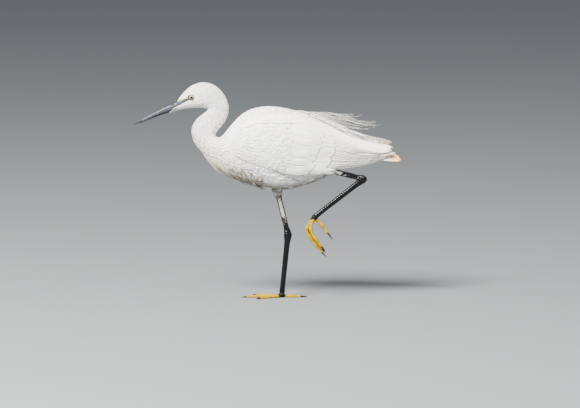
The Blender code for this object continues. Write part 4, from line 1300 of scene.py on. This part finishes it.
FLANK_FEATHERS, FLANK_STEPS, FLANK_ROOTS, FLANK_LENGTHS = 190, 9, (38, 86), (24, 31)
thigh = LEG_BONES[LEFT]
thigh_reach = (thigh["ankle"] - thigh["knee"]) * thigh["feathers_end"]
flank_feathers = Strands()
for i in range(FLANK_FEATHERS):
    shares = np.linspace(0, 1, FLANK_STEPS)
    x = draw.uniform(*FLANK_ROOTS) + draw.uniform(*FLANK_LENGTHS) * shares
    down_thigh = (x - thigh["knee"][0]) / thigh_reach[0]
    middle = thigh["knee"] + thigh_reach * down_thigh[:, None]
    radius = np.interp(down_thigh, (0, 0.25, 0.5, 0.75, 1, 1.3), (*thigh["thigh_radii"], 5.0))
    level = draw.uniform(-0.95, 0.95) * np.interp(shares, (0, 1), (1.0, 0.85))
    lift = np.interp(shares, (0, 0.3, 1), (-2.0, 0.2, 0.9)) + draw.uniform(-0.2, 0.4)
    out = (radius + lift) * np.sqrt(1 - level**2)
    path = middle + np.stack((0 * x, -out, (radius + lift) * level), axis=-1)
    sideways = np.stack((0 * x, level, np.sqrt(1 - level**2)), axis=-1)
    widths = np.interp(shares, (0, 0.3, 0.75, 1), (0.9, 1.3, 1.0, 0.12))
    place = on_pattern(THIGH_PATTERNS[LEFT], 0.3 + 0.4 * (level[0] + 1) / 2, min(1.0, down_thigh[0]))
    flank_feathers.add(path, widths, 0.3, sideways, place, draw.uniform())
flank_feathers.build("flank_feathers", small_finish)

# The tail. Twelve short square-ended feathers fold into a low roof over one another, the middle pair
# on top. Their worn ends are stained peach.

TAIL_FEATHERS, TAIL_START, TAIL_END = 12, 150.0, 227.0
TAIL_ROOF_SLOPE = 1.2
PEACH = (0.78, 0.43, 0.19)


def tail_finish():
    """Tail feathers: the wing's white, darker towards the root as painted shade, warming to peach at the
    worn ends.
    """
    finish = Finish("tail_feathers", Roughness=0.75, Sheen_Weight=0.1, Sheen_Roughness=0.5)
    x = finish.axes()[0]
    share, tone = finish.stored("along"), finish.stored("tone")
    streaks = finish.noise(260, 3.0, 0.6, (0.25, 1.0, 1.0))
    # Painted shade: each feather darkens towards its root, under the feathers over it.
    white = finish.blend((0.84, 0.80, 0.72), (0.92, 0.89, 0.83), (share * 1.5).bounded())
    peach = ((x - 0.198 + (streaks - 0.5) * 0.014) / 0.016).bounded()
    white = finish.blend(white, PEACH, (peach * (tone * 0.4 + 0.8)).bounded())
    finish.set("Base Color", white)
    finish.relief(streaks, 0.0003, 0.5)
    return finish.material


tail_vanes = Vanes()
for index in range(TAIL_FEATHERS):
    fan = mix(-1, 1, index / (TAIL_FEATHERS - 1))
    outward = abs(fan)
    shares = np.linspace(0, 1, VANE_ROWS)
    across = np.linspace(-1, 1, VANE_COLUMNS)
    x = mix(TAIL_START, TAIL_END - 10 * (1 - outward) - draw.uniform(0, 1.5), shares)
    y = fan * mix(3.2, 9.2, shares)
    z = mix(249.5, 248.0, shares) - outward * mix(7.0, 11.5, shares) + 0.15 * (1 - outward)
    half = np.interp(shares, (0, 0.3, 0.6, 0.9, 0.97, 1), (1.8, 3.4, 4.6, 4.5, 3.6, 2.6))
    slope = TAIL_ROOF_SLOPE * fan
    side = np.array((0, 1, -slope)) / math.hypot(1, slope)
    up = np.array((0, slope, 1)) / math.hypot(1, slope)
    middle = np.stack((x, y, z), axis=-1)
    tips = np.zeros((VANE_ROWS, VANE_COLUMNS, 3))
    tips[-3:, :, 0] -= np.abs(across)[None] ** 2 * np.array((0.3, 0.8, 1.6))[:, None]
    flat = middle[:, None] + side * (half[:, None] * across[None])[..., None] + tips
    roof = up * (0.5 * (1 - across**2))[None, :, None]
    under = up * (0.35 * (1 - 0.6 * across**2))[None, :, None]
    tail_vanes.add(flat + roof, flat + roof - under, half[:, None] * across[None], draw.uniform())
tail = tail_vanes.build("tail_feathers", tail_finish())
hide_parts("tail")

# The eyes. A glass eye sits deep in each socket: a black pupil in a pale greenish iris with a dark
# rim, under a glossy dome. A ring of bare, nearly black skin closes on it, with a corner before and
# behind.

EYE_RADIUS, PUPIL_RADIUS, IRIS_RADIUS = 5.0, 2.25, 3.7
DOME_RADIUS, DOME_RISE = 4.3, 0.55
LENS_RINGS, LENS_SIDES = 29, 48
LID_OPENING, LID_WIDTH, LID_RISE, LID_TILT = 3.45, 1.9, 0.95, math.radians(-24)
LID_RINGS, LID_SIDES, LID_SUNK = 9, 72, 1.6


def lens_rings(side, centre):
    """Rings from the front of the eye to its back, the front a little more domed than the ball."""
    rings = []
    round_turn = full_turn(LENS_SIDES)
    for i in range(LENS_RINGS):
        turn = math.pi * (i + 0.35) / (LENS_RINGS - 0.3)
        radius, depth = EYE_RADIUS * math.sin(turn), EYE_RADIUS * math.cos(turn)
        if turn < math.pi / 2:
            depth += DOME_RISE * max(0.0, 1 - (radius / DOME_RADIUS) ** 2) ** 1.5
        x, z = radius * np.cos(round_turn), radius * np.sin(round_turn)
        rings.append(centre + np.stack((x, np.full(LENS_SIDES, side * depth), z), axis=-1))
    return np.array(rings)


def eye_finish():
    """A black pupil, an iris with fine rays, and a dark rim, under a glossy coat."""
    finish = Finish(
        "glass_eye", Roughness=0.1, Specular_IOR_Level=0.2, Coat_Weight=0.3, Coat_Roughness=0.02
    )
    out = finish.stored("from_axis")
    around = finish.stored("round_axis")
    rays = finish.add(
        "ShaderNodeTexNoise",
        {"noise_dimensions": "2D"},
        {
            "Vector": finish.add("ShaderNodeCombineXYZ", {}, {0: around * 9.0, 1: out * 1.2}),
            "Scale": 1.0,
            "Detail": 4.0,
        },
    )
    iris = finish.blend((0.26, 0.27, 0.15), (0.48, 0.48, 0.31), (rays * 1.6 - 0.3).bounded())
    inner = ((out - PUPIL_RADIUS) / 0.35).bounded()
    colour = finish.blend((0.002, 0.002, 0.002), iris, inner)
    outer = ((out - (IRIS_RADIUS - 0.35)) / 0.45).bounded()
    finish.set("Base Color", finish.blend(colour, (0.02, 0.022, 0.025), outer))
    return finish.material


def lid_rings(side, centre):
    """The ring of bare skin: each ring of points runs once round the eye."""
    turn = full_turn(LID_SIDES)
    corner = np.abs(np.cos(turn - LID_TILT)) ** 10
    opening = LID_OPENING * (1 - 0.05 * np.abs(np.sin(turn - LID_TILT)) ** 2) + 0.35 * corner
    rings = []
    for across in np.linspace(0, 1, LID_RINGS):
        radius = opening + LID_WIDTH * across + 0.7 * corner * across
        rise = LID_RISE * math.sin(math.pi * min(1.0, across * 1.15 + 0.08)) ** 0.8 - 1.1 * across**2
        crinkle = 0.05 * np.sin(turn * 26) * math.sin(math.pi * across)
        y = side * (abs(centre[1]) + 2.55 + rise + crinkle)
        x, z = centre[0] + radius * np.cos(turn), centre[2] + radius * np.sin(turn)
        rings.append(np.stack((x, y + 0 * turn, z), axis=-1))
    sunk = np.array((0, side * LID_SUNK, 0))
    return np.array([*rings, rings[-1] - sunk, rings[0] - sunk])


def lid_finish():
    """Bare skin, nearly black, with fine pores."""
    finish = Finish("lid_skin", Roughness=0.75, Specular_IOR_Level=0.2)
    pores = finish.noise(1800, 3.0, 0.6)
    black = finish.blend((0.003, 0.004, 0.004), (0.014, 0.018, 0.019), (pores * 2.0 - 0.6).bounded())
    finish.set("Base Color", black)
    finish.relief(pores, 0.00015, 0.6)
    return finish.material


glass, lid_skin = eye_finish(), lid_finish()
for side in (LEFT, RIGHT):
    centre = eye_centre(side)
    rings = lens_rings(side, centre)
    eye = tube("glass_eye_" + SIDE_NAMES[side], rings)
    off = rings.reshape(-1, 3) - centre
    reach = np.where(off[:, 1] * side > 0, np.hypot(off[:, 0], off[:, 2]), EYE_RADIUS)
    add_field(eye.data, "from_axis", reach)
    add_field(eye.data, "round_axis", np.abs(np.arctan2(off[:, 2], off[:, 0])))
    eye.data.materials.append(glass)
    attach(eye, "root")
    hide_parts("eye_" + SIDE_NAMES[side])
    lid = tube("lid_" + SIDE_NAMES[side], lid_rings(side, centre), hoop=True)
    lid.data.materials.append(lid_skin)
    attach(lid, "root")

# The bill. Two long mandibles of dark slate horn taper to a dagger's point and meet along the mouth.
# A groove runs forward from the nostril's slit, and the horn is finely streaked along its length, its
# lighter blue-grey streaks partly a painted sheen.

BILL_SECTIONS = (
    (-152.9, 336.7, -157.3, 318.6, 7.4),
    (-165.0, 331.4, -169.0, 315.6, 6.2),
    (-181.0, 323.4, -184.5, 310.6, 4.9),
    (-197.0, 314.9, -199.8, 304.2, 3.9),
    (-211.0, 307.2, -213.0, 299.2, 2.8),
    (-221.5, 300.4, -222.6, 296.6, 1.6),
    (-226.5, 296.5, -227.0, 294.9, 0.7),
)
MOUTH_SHARE, MOUTH_GAP, BILL_RINGS, BILL_SIDES = 0.46, 0.3, 90, 33
GROOVE_DEGREES, GROOVE_DEPTH, NOSTRIL_DEPTH = 60, 0.40, 0.9
# How deep the groove is, of its full depth, at shares of the bill's length, and so for the nostril.
GROOVE_SHARES, GROOVE_FADE = (0, 0.08, 0.62, 0.82), (0.3, 1, 0.8, 0)
NOSTRIL_SHARES, NOSTRIL_FADE = (0.075, 0.11, 0.17, 0.19), (0, 1, 1, 0)
BILL_KEYS = section_keys(BILL_SECTIONS)
read_bill = spline(BILL_KEYS, BILL_SECTIONS)


def half_section(share, upper):
    """The mouth's middle, the way from it to the half's outer edge, and the half width."""
    top_x, top_z, low_x, low_z, half_width = read_bill(BILL_KEYS[-1] * share)
    top, low = np.array((top_x, 0, top_z)), np.array((low_x, 0, low_z))
    up = unit(top - low)
    mouth = mix(low, top, MOUTH_SHARE) + up * (MOUTH_GAP / 2 if upper else -MOUTH_GAP / 2)
    return mouth, (top if upper else low) - mouth, half_width


def mandible_rings(upper):
    """One half of the bill. The last points of each ring lie along the mouth."""
    degrees = np.linspace(-90, 90, BILL_SIDES)
    turn = np.radians(degrees)
    rings = []
    for share in np.linspace(0, 1, BILL_RINGS):
        mouth, reach, half_width = half_section(mix(-0.03, 1.0, share), upper)
        fade = 1 - share**6
        lateral = half_width * np.abs(np.sin(turn)) ** 0.9 * np.sign(turn)
        level = np.cos(turn) ** (0.92 if upper else 0.8)
        if upper:
            beside = np.abs(degrees) - GROOVE_DEGREES
            groove = GROOVE_DEPTH * np.interp(share, GROOVE_SHARES, GROOVE_FADE)
            slit = NOSTRIL_DEPTH * np.interp(share, NOSTRIL_SHARES, NOSTRIL_FADE)
            depth = groove * np.exp(-((beside / 9) ** 2)) + slit * np.exp(-((beside / 4.5) ** 2))
            lateral = lateral - np.sign(turn) * depth * fade
        point = mouth + reach * level[:, None]
        point[:, 1] += lateral
        bottom = np.linspace(point[-1], point[0], 9)[1:-1]
        rings.append(np.concatenate((point, bottom)))
    return np.array(rings)


def bill_finish():
    """Dark horn, scratched along its length, its lighter blue-grey streaks partly grain and partly a
    painted sheen, paler low near the point.
    """
    finish = Finish("bill_horn", Specular_IOR_Level=0.25, Coat_Weight=0.04, Coat_Roughness=0.2)
    x, _, z = finish.axes()
    turned = finish.add(
        "ShaderNodeMapping",
        {},
        {"Vector": finish.place, "Rotation": (0, math.radians(-31), 0), "Scale": (0.12, 1.0, 1.0)},
    )
    streaks = finish.noise(900, 4.0, 0.65, place=turned)
    cloud = finish.noise(70, 2.0, 0.5)
    # Lighter blue-grey streaks: partly the horn's grain, partly a painted sheen.
    worn = ((streaks - 0.46) * 4.5).bounded() * (cloud * 0.8 + 0.3)
    colour = finish.blend((0.006, 0.009, 0.013), (0.075, 0.095, 0.122), worn)
    # A pale streak low on the lower mandible near its point.
    near_tip = ((-0.196 - x) / 0.006).bounded() * ((x + 0.216) / 0.006).bounded()
    low_side = ((0.3035 + (-0.205 - x) * -0.55 - z) / 0.0015).bounded()
    pale_streak = near_tip * low_side * ((streaks - 0.35) * 3.0).bounded() * 0.8
    colour = finish.blend(colour, (0.34, 0.36, 0.37), pale_streak)
    finish.set("Base Color", colour)
    finish.set("Roughness", streaks * 0.25 + 0.3)
    finish.relief(streaks, 0.0002, 0.55)
    return finish.material


horn = bill_finish()
for name, upper in (("upper", True), ("lower", False)):
    mandible = tube(name + "_mandible", mandible_rings(upper))
    mandible.data.materials.append(horn)
    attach(mandible, "root")
    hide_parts("bill_" + name)

# The chin feathers. Short fine white feathers run forward from the chin over the base of the lower
# mandible, longest along its keel, so that they end in a wedge under the bill.

CHIN_FEATHERS, CHIN_STEPS, CHIN_DEGREES = 260, 7, 84
chin_feathers = Strands()
for i in range(CHIN_FEATHERS):
    degrees = draw.uniform(-CHIN_DEGREES, CHIN_DEGREES)
    low_down = 1 - abs(degrees) / 90
    start, end = draw.uniform(-0.06, 0.01), 0.045 + 0.14 * low_down**0.8 * draw.uniform(0.45, 1.0)
    turn = math.radians(degrees)
    path, sideways = [], []
    for step in np.linspace(0, 1, CHIN_STEPS):
        mouth, reach, half_width = half_section(mix(start, end, step), False)
        level, out = math.cos(turn) ** 0.8, abs(math.sin(turn)) ** 0.9 * math.copysign(1, turn)
        outward = np.array((0, half_width * out, 0)) + reach * level
        lift = mix(-0.2, 0.75, step**0.7)
        path.append(mouth + outward * (1 + lift / np.linalg.norm(outward)))
        sideways.append((0, half_width * level, -math.sin(turn) * np.linalg.norm(reach)))
    widths = np.interp(np.linspace(0, 1, CHIN_STEPS), (0, 0.5, 1), (0.30, 0.38, 0.05))
    place = body_place(2, 180 - degrees)
    chin_feathers.add(path, widths, 0.22, np.array(sideways), place, draw.uniform())
chin_feathers.build("chin_feathers", small_finish)

# The legs. Above the ankle is the bare shank, below it the long tarsus, both thin bone under tight
# black skin. The skin is scaly: broad scutes cross the front, and small round scales net the rest.

SHANK_ABOVE = {LEFT: 0.26, RIGHT: 0.05}
SHANK_RADII = {
    LEFT: ((0, 6.0), (0.1, 5.2), (0.2, 4.5), (0.65, 4.3), (0.88, 4.8), (1.0, 5.3), (1.03, 4.2)),
    RIGHT: ((0, 4.4), (0.3, 4.3), (0.65, 4.3), (0.88, 4.8), (1.0, 5.3), (1.03, 4.2)),
}
TARSUS_RADII = (
    (-0.052, 1.8),
    (-0.043, 3.9),
    (-0.024, 5.6),
    (0.0, 6.3),
    (0.04, 6.2),
    (0.1, 5.2),
    (0.18, 4.6),
    (0.5, 4.3),
    (0.86, 4.1),
    (0.95, 4.5),
    (0.975, 4.5),
    (1.0, 3.6),
)
LIMB_SIDES, LIMB_STEP, SCUTE_LENGTH, SCUTE_RISE = 40, 0.7, 4.2, 0.20


def scaly_limb(name, start, end, steps):
    """A limb whose front carries scutes, each standing a little over the next one down."""
    length = np.linalg.norm(end - start)
    first, last = steps[0][0], steps[-1][0]
    shares = np.linspace(first, last, max(30, int(length * (last - first) / LIMB_STEP)))
    base = spline([share for share, _ in steps], [(radius,) for _, radius in steps])(shares)[:, 0]
    turn = full_turn(LIMB_SIDES)
    front = np.clip((np.cos(turn) - 0.05) / 0.5, 0, 1)
    phase = (shares * length / SCUTE_LENGTH)[:, None] + 0.12 * np.cos(turn)[None] ** 2
    saw = 1 - (phase % 1.0) ** 3
    fade = np.clip(np.minimum(shares - shares[0], shares[-1] - shares) * length / 6, 0, 1)[:, None]
    raised = SCUTE_RISE * (saw - 0.7) * front[None] * fade
    radii = base[:, None] * (1 + 0.07 * np.cos(2 * turn)[None] * fade) + raised
    limb = tube(name, limb_rings(start, end, shares, radii, LIMB_SIDES))
    round_place = np.tile(np.cos(turn), len(shares))
    add_field(limb.data, "sideways", 1 - np.abs(round_place))
    return limb


def scale_net(finish, scale, sharp):
    """Small round scales, scale to the metre: 1 on each of them, 0 in the seams between them."""
    edges = finish.add(
        "ShaderNodeTexVoronoi",
        {"feature": "DISTANCE_TO_EDGE"},
        {"Vector": finish.place, "Scale": scale},
    )
    return (edges * sharp).bounded()


def leg_finish(name, dark, pale, pale_mask):
    """Wet black scaly skin. pale_mask says where it turns greyish white, mostly down the limb's sides:
    partly grey skin, partly painted light.
    """
    finish = Finish(name, Specular_IOR_Level=0.15, Coat_Weight=0.2, Coat_Roughness=0.07)
    scales = scale_net(finish, 620.0, 9.0)
    cloud = finish.noise(240, 3.0, 0.6)
    colour = finish.blend(tuple(c * 0.5 for c in dark), dark, scales)
    x, _, z = finish.axes()
    # Pale greyish white, mostly down the limb's sides with black at front and back: partly grey skin,
    # partly painted light.
    mask = pale_mask(x, z, cloud) * ((finish.stored("sideways") - 0.22) * 3.0 + (cloud - 0.5)).bounded()
    light = finish.blend(tuple(c * 0.55 for c in pale), pale, (scales * 0.6 + cloud * 0.4).bounded())
    finish.set("Base Color", finish.blend(colour, light, mask))
    finish.set("Roughness", 0.17 + mask * 0.35 + cloud * 0.06)
    finish.relief(scales, 0.00010, 0.5)
    return finish.material


def standing_pale(x, z, cloud):
    """Pale towards the top of the standing leg's shank."""
    fade = ((z - 0.118) / 0.045).bounded()
    return (((cloud - 0.62) * 5.0 + fade * 3.2).bounded()) * 0.95


def lifted_pale(x, z, cloud):
    """Pale towards the body along the lifted leg's shank."""
    fade = ((0.136 - x) / 0.030).bounded()
    return ((cloud - 0.60) * 6.0 + fade * 2.4).bounded() * 0.85


def nowhere_pale(x, z, cloud):
    """Only faint patches, for the tarsus."""
    return ((cloud - 0.74) * 5.0).bounded() * 0.25


BLACK_SKIN, GREY_SKIN_AND_LIGHT = (0.003, 0.003, 0.0033), (0.36, 0.345, 0.32)
shank_finishes = {
    LEFT: leg_finish("lifted_shank_skin", BLACK_SKIN, (0.36, 0.35, 0.33), lifted_pale),
    RIGHT: leg_finish("standing_shank_skin", BLACK_SKIN, GREY_SKIN_AND_LIGHT, standing_pale),
}
tarsus_finish = leg_finish("tarsus_skin", BLACK_SKIN, (0.05, 0.05, 0.05), nowhere_pale)
for side in (LEFT, RIGHT):
    leg, name = LEG_BONES[side], SIDE_NAMES[side]
    feathers_end = mix(leg["knee"], leg["ankle"], leg["feathers_end"])
    shank_start = mix(feathers_end, leg["ankle"], -SHANK_ABOVE[side])
    shank = scaly_limb("shank_skin_" + name, shank_start, leg["ankle"], SHANK_RADII[side])
    tarsus = scaly_limb("tarsus_skin_" + name, leg["ankle"], leg["toe_joint"], TARSUS_RADII)
    limbs = ((shank, "shank_", shank_finishes[side]), (tarsus, "tarsus_", tarsus_finish))
    for limb, node, finish in limbs:
        limb.data.materials.append(finish)
        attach(limb, "root")
        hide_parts(node + name)

# The thigh fringes. The last feathers of each thigh are fine and narrow, and they run on over the top
# of the shank's skin, so that the white ends in points and not in a cuff.

FRINGE_FEATHERS, FRINGE_STEPS, FRINGE_ABOVE = 120, 7, 17.0
FRINGE_BELOW = {LEFT: (-11.0, -2.0), RIGHT: (1.0, 5.0)}
for side in (LEFT, RIGHT):
    leg = LEG_BONES[side]
    ahead, front, across = limb_frame(leg["knee"], leg["ankle"])
    end_of_feathers = mix(leg["knee"], leg["ankle"], leg["feathers_end"])
    fringe = Strands()
    for i in range(FRINGE_FEATHERS):
        turn = math.tau * (i + draw.uniform(0, 1)) / FRINGE_FEATHERS
        shares = np.linspace(0, 1, FRINGE_STEPS)
        reach = mix(-FRINGE_ABOVE + draw.uniform(-16, 5), draw.uniform(*FRINGE_BELOW[side]), shares)
        radius = np.interp(reach, (-33, -22, -12, 0, 11), (10.0, 8.2, 6.8, 5.4, 4.75))
        radius = radius + mix(-draw.uniform(1.0, 4.0), draw.uniform(0.1, 0.9), shares)
        spoke = front * math.cos(turn) + across * math.sin(turn)
        path = end_of_feathers + ahead * reach[:, None] + spoke * radius[:, None]
        sideways = np.tile(across * math.cos(turn) - front * math.sin(turn), (FRINGE_STEPS, 1))
        widths = np.interp(shares, (0, 0.5, 1), (0.6, 0.8, 0.07))
        place = on_pattern(THIGH_PATTERNS[side], turn / math.tau, 0.9)
        fringe.add(path, widths, 0.35, sideways, place, draw.uniform())
    fringe.build("thigh_fringe_" + SIDE_NAMES[side], small_finish)

# The feet. Yellow toes, three forward and one back, with a row of scutes along the top of each and
# soft pads under the joints. The standing foot is spread flat, and the lifted one hangs half closed.

TOE_RADIUS, TOE_TIP_RADIUS, PAD_SWELL, TOE_SCUTE = 3.0, 2.1, 0.45, 2.6
STANDING_TOES = {
    "inner": (44.0, -33.0, 3),
    "middle": (60.0, -2.0, 4),
    "outer": (51.0, 31.0, 4),
    "hind": (32.0, 176.0, 2),
}
LIFTED_TOES = {
    "inner": ((77.5, -20.0, 136.1), (73.0, -25.0, 120.1), (81.5, -27.0, 103.1), (92.0, -26.0, 89.6)),
    "middle": ((76.0, -18.0, 136.1), (67.0, -18.5, 117.1), (72.5, -19.0, 104.1), (92.5, -18.5, 79.1)),
    "outer": ((77.5, -16.0, 136.1), (71.0, -11.5, 118.1), (77.5, -10.0, 103.1), (92.5, -11.0, 84.1)),
    "hind": ((81.0, -18.0, 136.6), (88.5, -18.0, 129.1), (95.5, -18.0, 120.6), (102.0, -18.0, 112.1)),
}
TOE_RINGS, TOE_SIDES = 84, 28
TOE_TOPS = {LEFT: (-0.8, 0, 0.25), RIGHT: (0, 0, 1)}


def toe_path(side, toe):
    """The toe's middle line, at even shares of its length."""
    shares = np.linspace(0, 1, TOE_RINGS)
    if side == RIGHT:
        length, degrees, _ = STANDING_TOES[toe]
        turn = math.radians(degrees)
        ahead = np.array((-math.cos(turn), math.sin(turn), 0))
        path = LEG_BONES[RIGHT]["toe_joint"] + ahead * length * shares[:, None]
        path[:, 2] = mix(TOE_RADIUS, TOE_TIP_RADIUS, shares) - 0.5 + 2.2 * np.clip(1 - shares * 5, 0, None)
        return path
    points = np.array(LIFTED_TOES[toe])
    reach = np.concatenate(([0], np.cumsum(np.linalg.norm(np.diff(points, axis=0), axis=1))))
    return spline(reach, points)(reach[-1] * shares)


def above_floor(rings):
    """Flattens what would sink into the floor."""
    rings[..., 2] = np.maximum(rings[..., 2], 0.0)
    return rings


def path_rings(path, radii, top):
    """Rings round a curved path. The first point of each ring faces the way that top points."""
    ahead = directions(path)
    up = unit(np.array(top) - ahead * (ahead @ np.array(top))[:, None])
    across = np.cross(ahead, up)
    turn = full_turn(radii.shape[1])
    spokes = up[:, None] * np.cos(turn)[None, :, None] + across[:, None] * np.sin(turn)[None, :, None]
    return above_floor(path[:, None] + spokes * radii[..., None])


def toe_rings(side, toe):
    """A toe with its pads below, its scutes above and a rounded end."""
    path = toe_path(side, toe)
    shares = np.linspace(0, 1, TOE_RINGS)
    joints = STANDING_TOES[toe][2]
    length = np.sum(np.linalg.norm(np.diff(path, axis=0), axis=1))
    turn = full_turn(TOE_SIDES)
    base = mix(TOE_RADIUS, TOE_TIP_RADIUS, shares)
    swell = PAD_SWELL * np.cos(math.tau * joints * shares) * (1 - 0.3 * shares)
    below = 1 - 0.4 * np.cos(turn)
    saw = 1 - ((shares * length / TOE_SCUTE) % 1.0) ** 3
    scutes = 0.22 * (saw - 0.7)[:, None] * np.clip((np.cos(turn) - 0.1) / 0.4, 0, 1)[None]
    end = np.sqrt(1 - 0.55 * ((shares - 0.90) / 0.10).clip(0) ** 2)
    radii = (base[:, None] + swell[:, None] * below[None] + scutes) * end[:, None]
    return path_rings(path, radii, TOE_TOPS[side])


def foot_finish():
    """Bright yellow skin, black over the joint with the tarsus, with dark lines between its scutes."""
    finish = Finish("foot_skin", Specular_IOR_Level=0.12, Coat_Weight=0.03, Coat_Roughness=0.2)
    scales = scale_net(finish, 800.0, 8.0)
    cloud = finish.noise(160, 3.0, 0.6)
    yellow = finish.blend((0.27, 0.165, 0.0), (0.40, 0.26, 0.0), cloud)
    yellow = finish.blend((0.17, 0.11, 0.0), yellow, scales * 0.4 + 0.6)
    joint = finish.stored("near_joint")
    black = ((joint - 0.5 + (cloud - 0.5) * 0.8) * 6.0).bounded()
    finish.set("Base Color", finish.blend(yellow, (0.006, 0.006, 0.005), black))
    finish.set("Roughness", 0.42 + cloud * 0.15)
    finish.relief(scales, 0.0002, 0.6)
    return finish.material


yellow_skin = foot_finish()
JOINT_RADIUS, JOINT_SINK, JOINT_RINGS, JOINT_SIDES = 4.9, 0.6, 19, 28


def foot_joint(centre):
    """The knuckle that the toes spring from."""
    turn = full_turn(JOINT_SIDES)
    rings = []
    for i in range(JOINT_RINGS):
        tilt = math.pi * (i + 0.3) / (JOINT_RINGS - 0.4)
        flat = JOINT_RADIUS * math.sin(tilt)
        z = np.full(JOINT_SIDES, JOINT_RADIUS * math.cos(tilt))
        rings.append(centre + np.stack((flat * np.cos(turn), flat * np.sin(turn), z), axis=-1))
    return tube("knuckle", above_floor(np.array(rings)))


for side in (LEFT, RIGHT):
    centre = LEG_BONES[side]["toe_joint"] - np.array((0, 0, JOINT_SINK))
    toes = [tube("toe", toe_rings(side, toe)) for toe in STANDING_TOES]
    foot = united(foot_joint(centre), toes)
    foot.name = "foot_skin_" + SIDE_NAMES[side]
    outwards(foot)
    off = read_points(foot.data) - centre
    above = np.array((-0.25, 0, 1.0)) if side == LEFT else np.array((0, 0, 1.0))
    near = np.clip(1.35 - np.linalg.norm(off, axis=1) / 10.5, 0, 1) + 0.035 * (off @ above)
    add_field(foot.data, "near_joint", near)
    foot.data.materials.append(yellow_skin)
    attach(foot, "root")
    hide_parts("foot_" + SIDE_NAMES[side])

# The claws. A black claw of polished horn grows out of the end of each toe, tapers and bends a little
# down to its point.

CLAW_LENGTHS = {"inner": 8.0, "middle": 9.0, "outer": 7.5, "hind": 12.0}
CLAW_RADII = ((0, 1.6), (0.45, 1.25), (0.8, 0.8), (1.0, 0.3))
CLAW_RINGS, CLAW_SIDES, CLAW_SUNK = 26, 20, 0.8
# How far along its length, and how far down of it, a claw has come at each guide after its root.
CLAW_GUIDES = ((0.45, 0.04), (0.8, 0.14), (1.0, 0.27))
CLAW_DROOPS = {LEFT: np.array((0.45, 0, -0.4)), RIGHT: np.array((0, 0, -0.25))}
claw_finish = Finish("claw_horn", Specular_IOR_Level=0.25, Coat_Weight=0.2, Coat_Roughness=0.1)
grain = claw_finish.noise(1200, 3.0, 0.6, (0.3, 1.0, 1.0))
claw_finish.set("Base Color", claw_finish.blend((0.003, 0.003, 0.003), (0.022, 0.019, 0.016), grain))
claw_finish.set("Roughness", 0.2 + grain * 0.2)
claw_finish.relief(grain, 0.0001, 0.5)
for side in (LEFT, RIGHT):
    for toe, length in CLAW_LENGTHS.items():
        path = toe_path(side, toe)
        ahead = unit(path[-1] - path[-(TOE_RINGS // 10)])
        guides = [path[-1] - ahead * CLAW_SUNK]
        for out, bend in CLAW_GUIDES:
            guides.append(path[-1] + ahead * length * out + CLAW_DROOPS[side] * length * bend)
        shares = np.linspace(0, 1, CLAW_RINGS)
        line = spline((0, 0.45, 0.8, 1.0), guides)(shares)
        radii = np.interp(shares, *np.transpose(CLAW_RADII))[:, None] * np.ones(CLAW_SIDES)
        rings = path_rings(line, radii, TOE_TOPS[side])
        claw = tube(f"claw_horn_{SIDE_NAMES[side]}_{toe}", rings)
        claw.data.materials.append(claw_finish.material)
        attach(claw, "root")
        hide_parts(f"claw_{SIDE_NAMES[side]}_{toe}")

# The studio. The model stands on a plain grey floor under one broad soft lamp, high in front of it and
# to the left, with a weak one to the right and the room's own even light for the shadows. The camera
# is a long lens, a little above the bird, square to its left side.

FLOOR_RADIUS, FLOOR_TONE = 60.0, (0.165, 0.178, 0.19)
ROOM_TONE, ROOM_STRENGTH = (0.87, 0.89, 0.91), 0.42
floor_mesh = bpy.data.meshes.new("floor")
shape = bmesh.new()
bmesh.ops.create_circle(shape, cap_ends=True, segments=96, radius=FLOOR_RADIUS)
shape.to_mesh(floor_mesh)
shape.free()
floor = bpy.data.objects.new("floor", floor_mesh)
bpy.context.scene.collection.objects.link(floor)
floor_finish = Finish("studio_floor", Roughness=0.85)
floor_finish.set("Base Color", (*FLOOR_TONE, 1))
floor.data.materials.append(floor_finish.material)

room = bpy.data.worlds.new("studio_room")
room.use_nodes = True
sky = room.node_tree.nodes["Background"]
sky.inputs["Color"].default_value = (*ROOM_TONE, 1)
sky.inputs["Strength"].default_value = ROOM_STRENGTH
bpy.context.scene.world = room


def lamp(name, place, aim, size, watts, colour):
    """A square soft lamp at a place in metres, turned to a point."""
    light = bpy.data.lights.new(name, "AREA")
    light.shape, light.size, light.energy, light.color = "SQUARE", size, watts, colour
    made = bpy.data.objects.new(name, light)
    made.location = place
    made.rotation_euler = (Vector(aim) - Vector(place)).to_track_quat("-Z", "Y").to_euler()
    bpy.context.scene.collection.objects.link(made)


lamp("key_lamp", (-1.5, -2.3, 3.1), (0, 0, 0.25), 1.5, 985, (1.0, 0.975, 0.93))
lamp("fill_lamp", (2.6, -2.8, 1.2), (0, 0, 0.2), 2.0, 30, (0.93, 0.96, 1.0))

PHOTO_SIZE = (580, 408)
MM_PER_PIXEL, CENTRE_X, CENTRE_Z = 1.70, 37.9, 160.0
CAMERA_DISTANCE, CAMERA_RISE, SENSOR = 10.0, math.radians(6), 36.0
seen_width = PHOTO_SIZE[0] * MM_PER_PIXEL * MM
lens = bpy.data.cameras.new("camera")
lens.sensor_width = SENSOR
lens.lens = SENSOR * CAMERA_DISTANCE / seen_width
lens.clip_end = 200
camera = bpy.data.objects.new("camera", lens)
target = Vector((CENTRE_X, 0, CENTRE_Z)) * MM
camera.location = target + CAMERA_DISTANCE * Vector((0, -math.cos(CAMERA_RISE), math.sin(CAMERA_RISE)))
camera.rotation_euler = (target - camera.location).to_track_quat("-Z", "Y").to_euler()
bpy.context.scene.collection.objects.link(camera)
bpy.context.scene.camera = camera
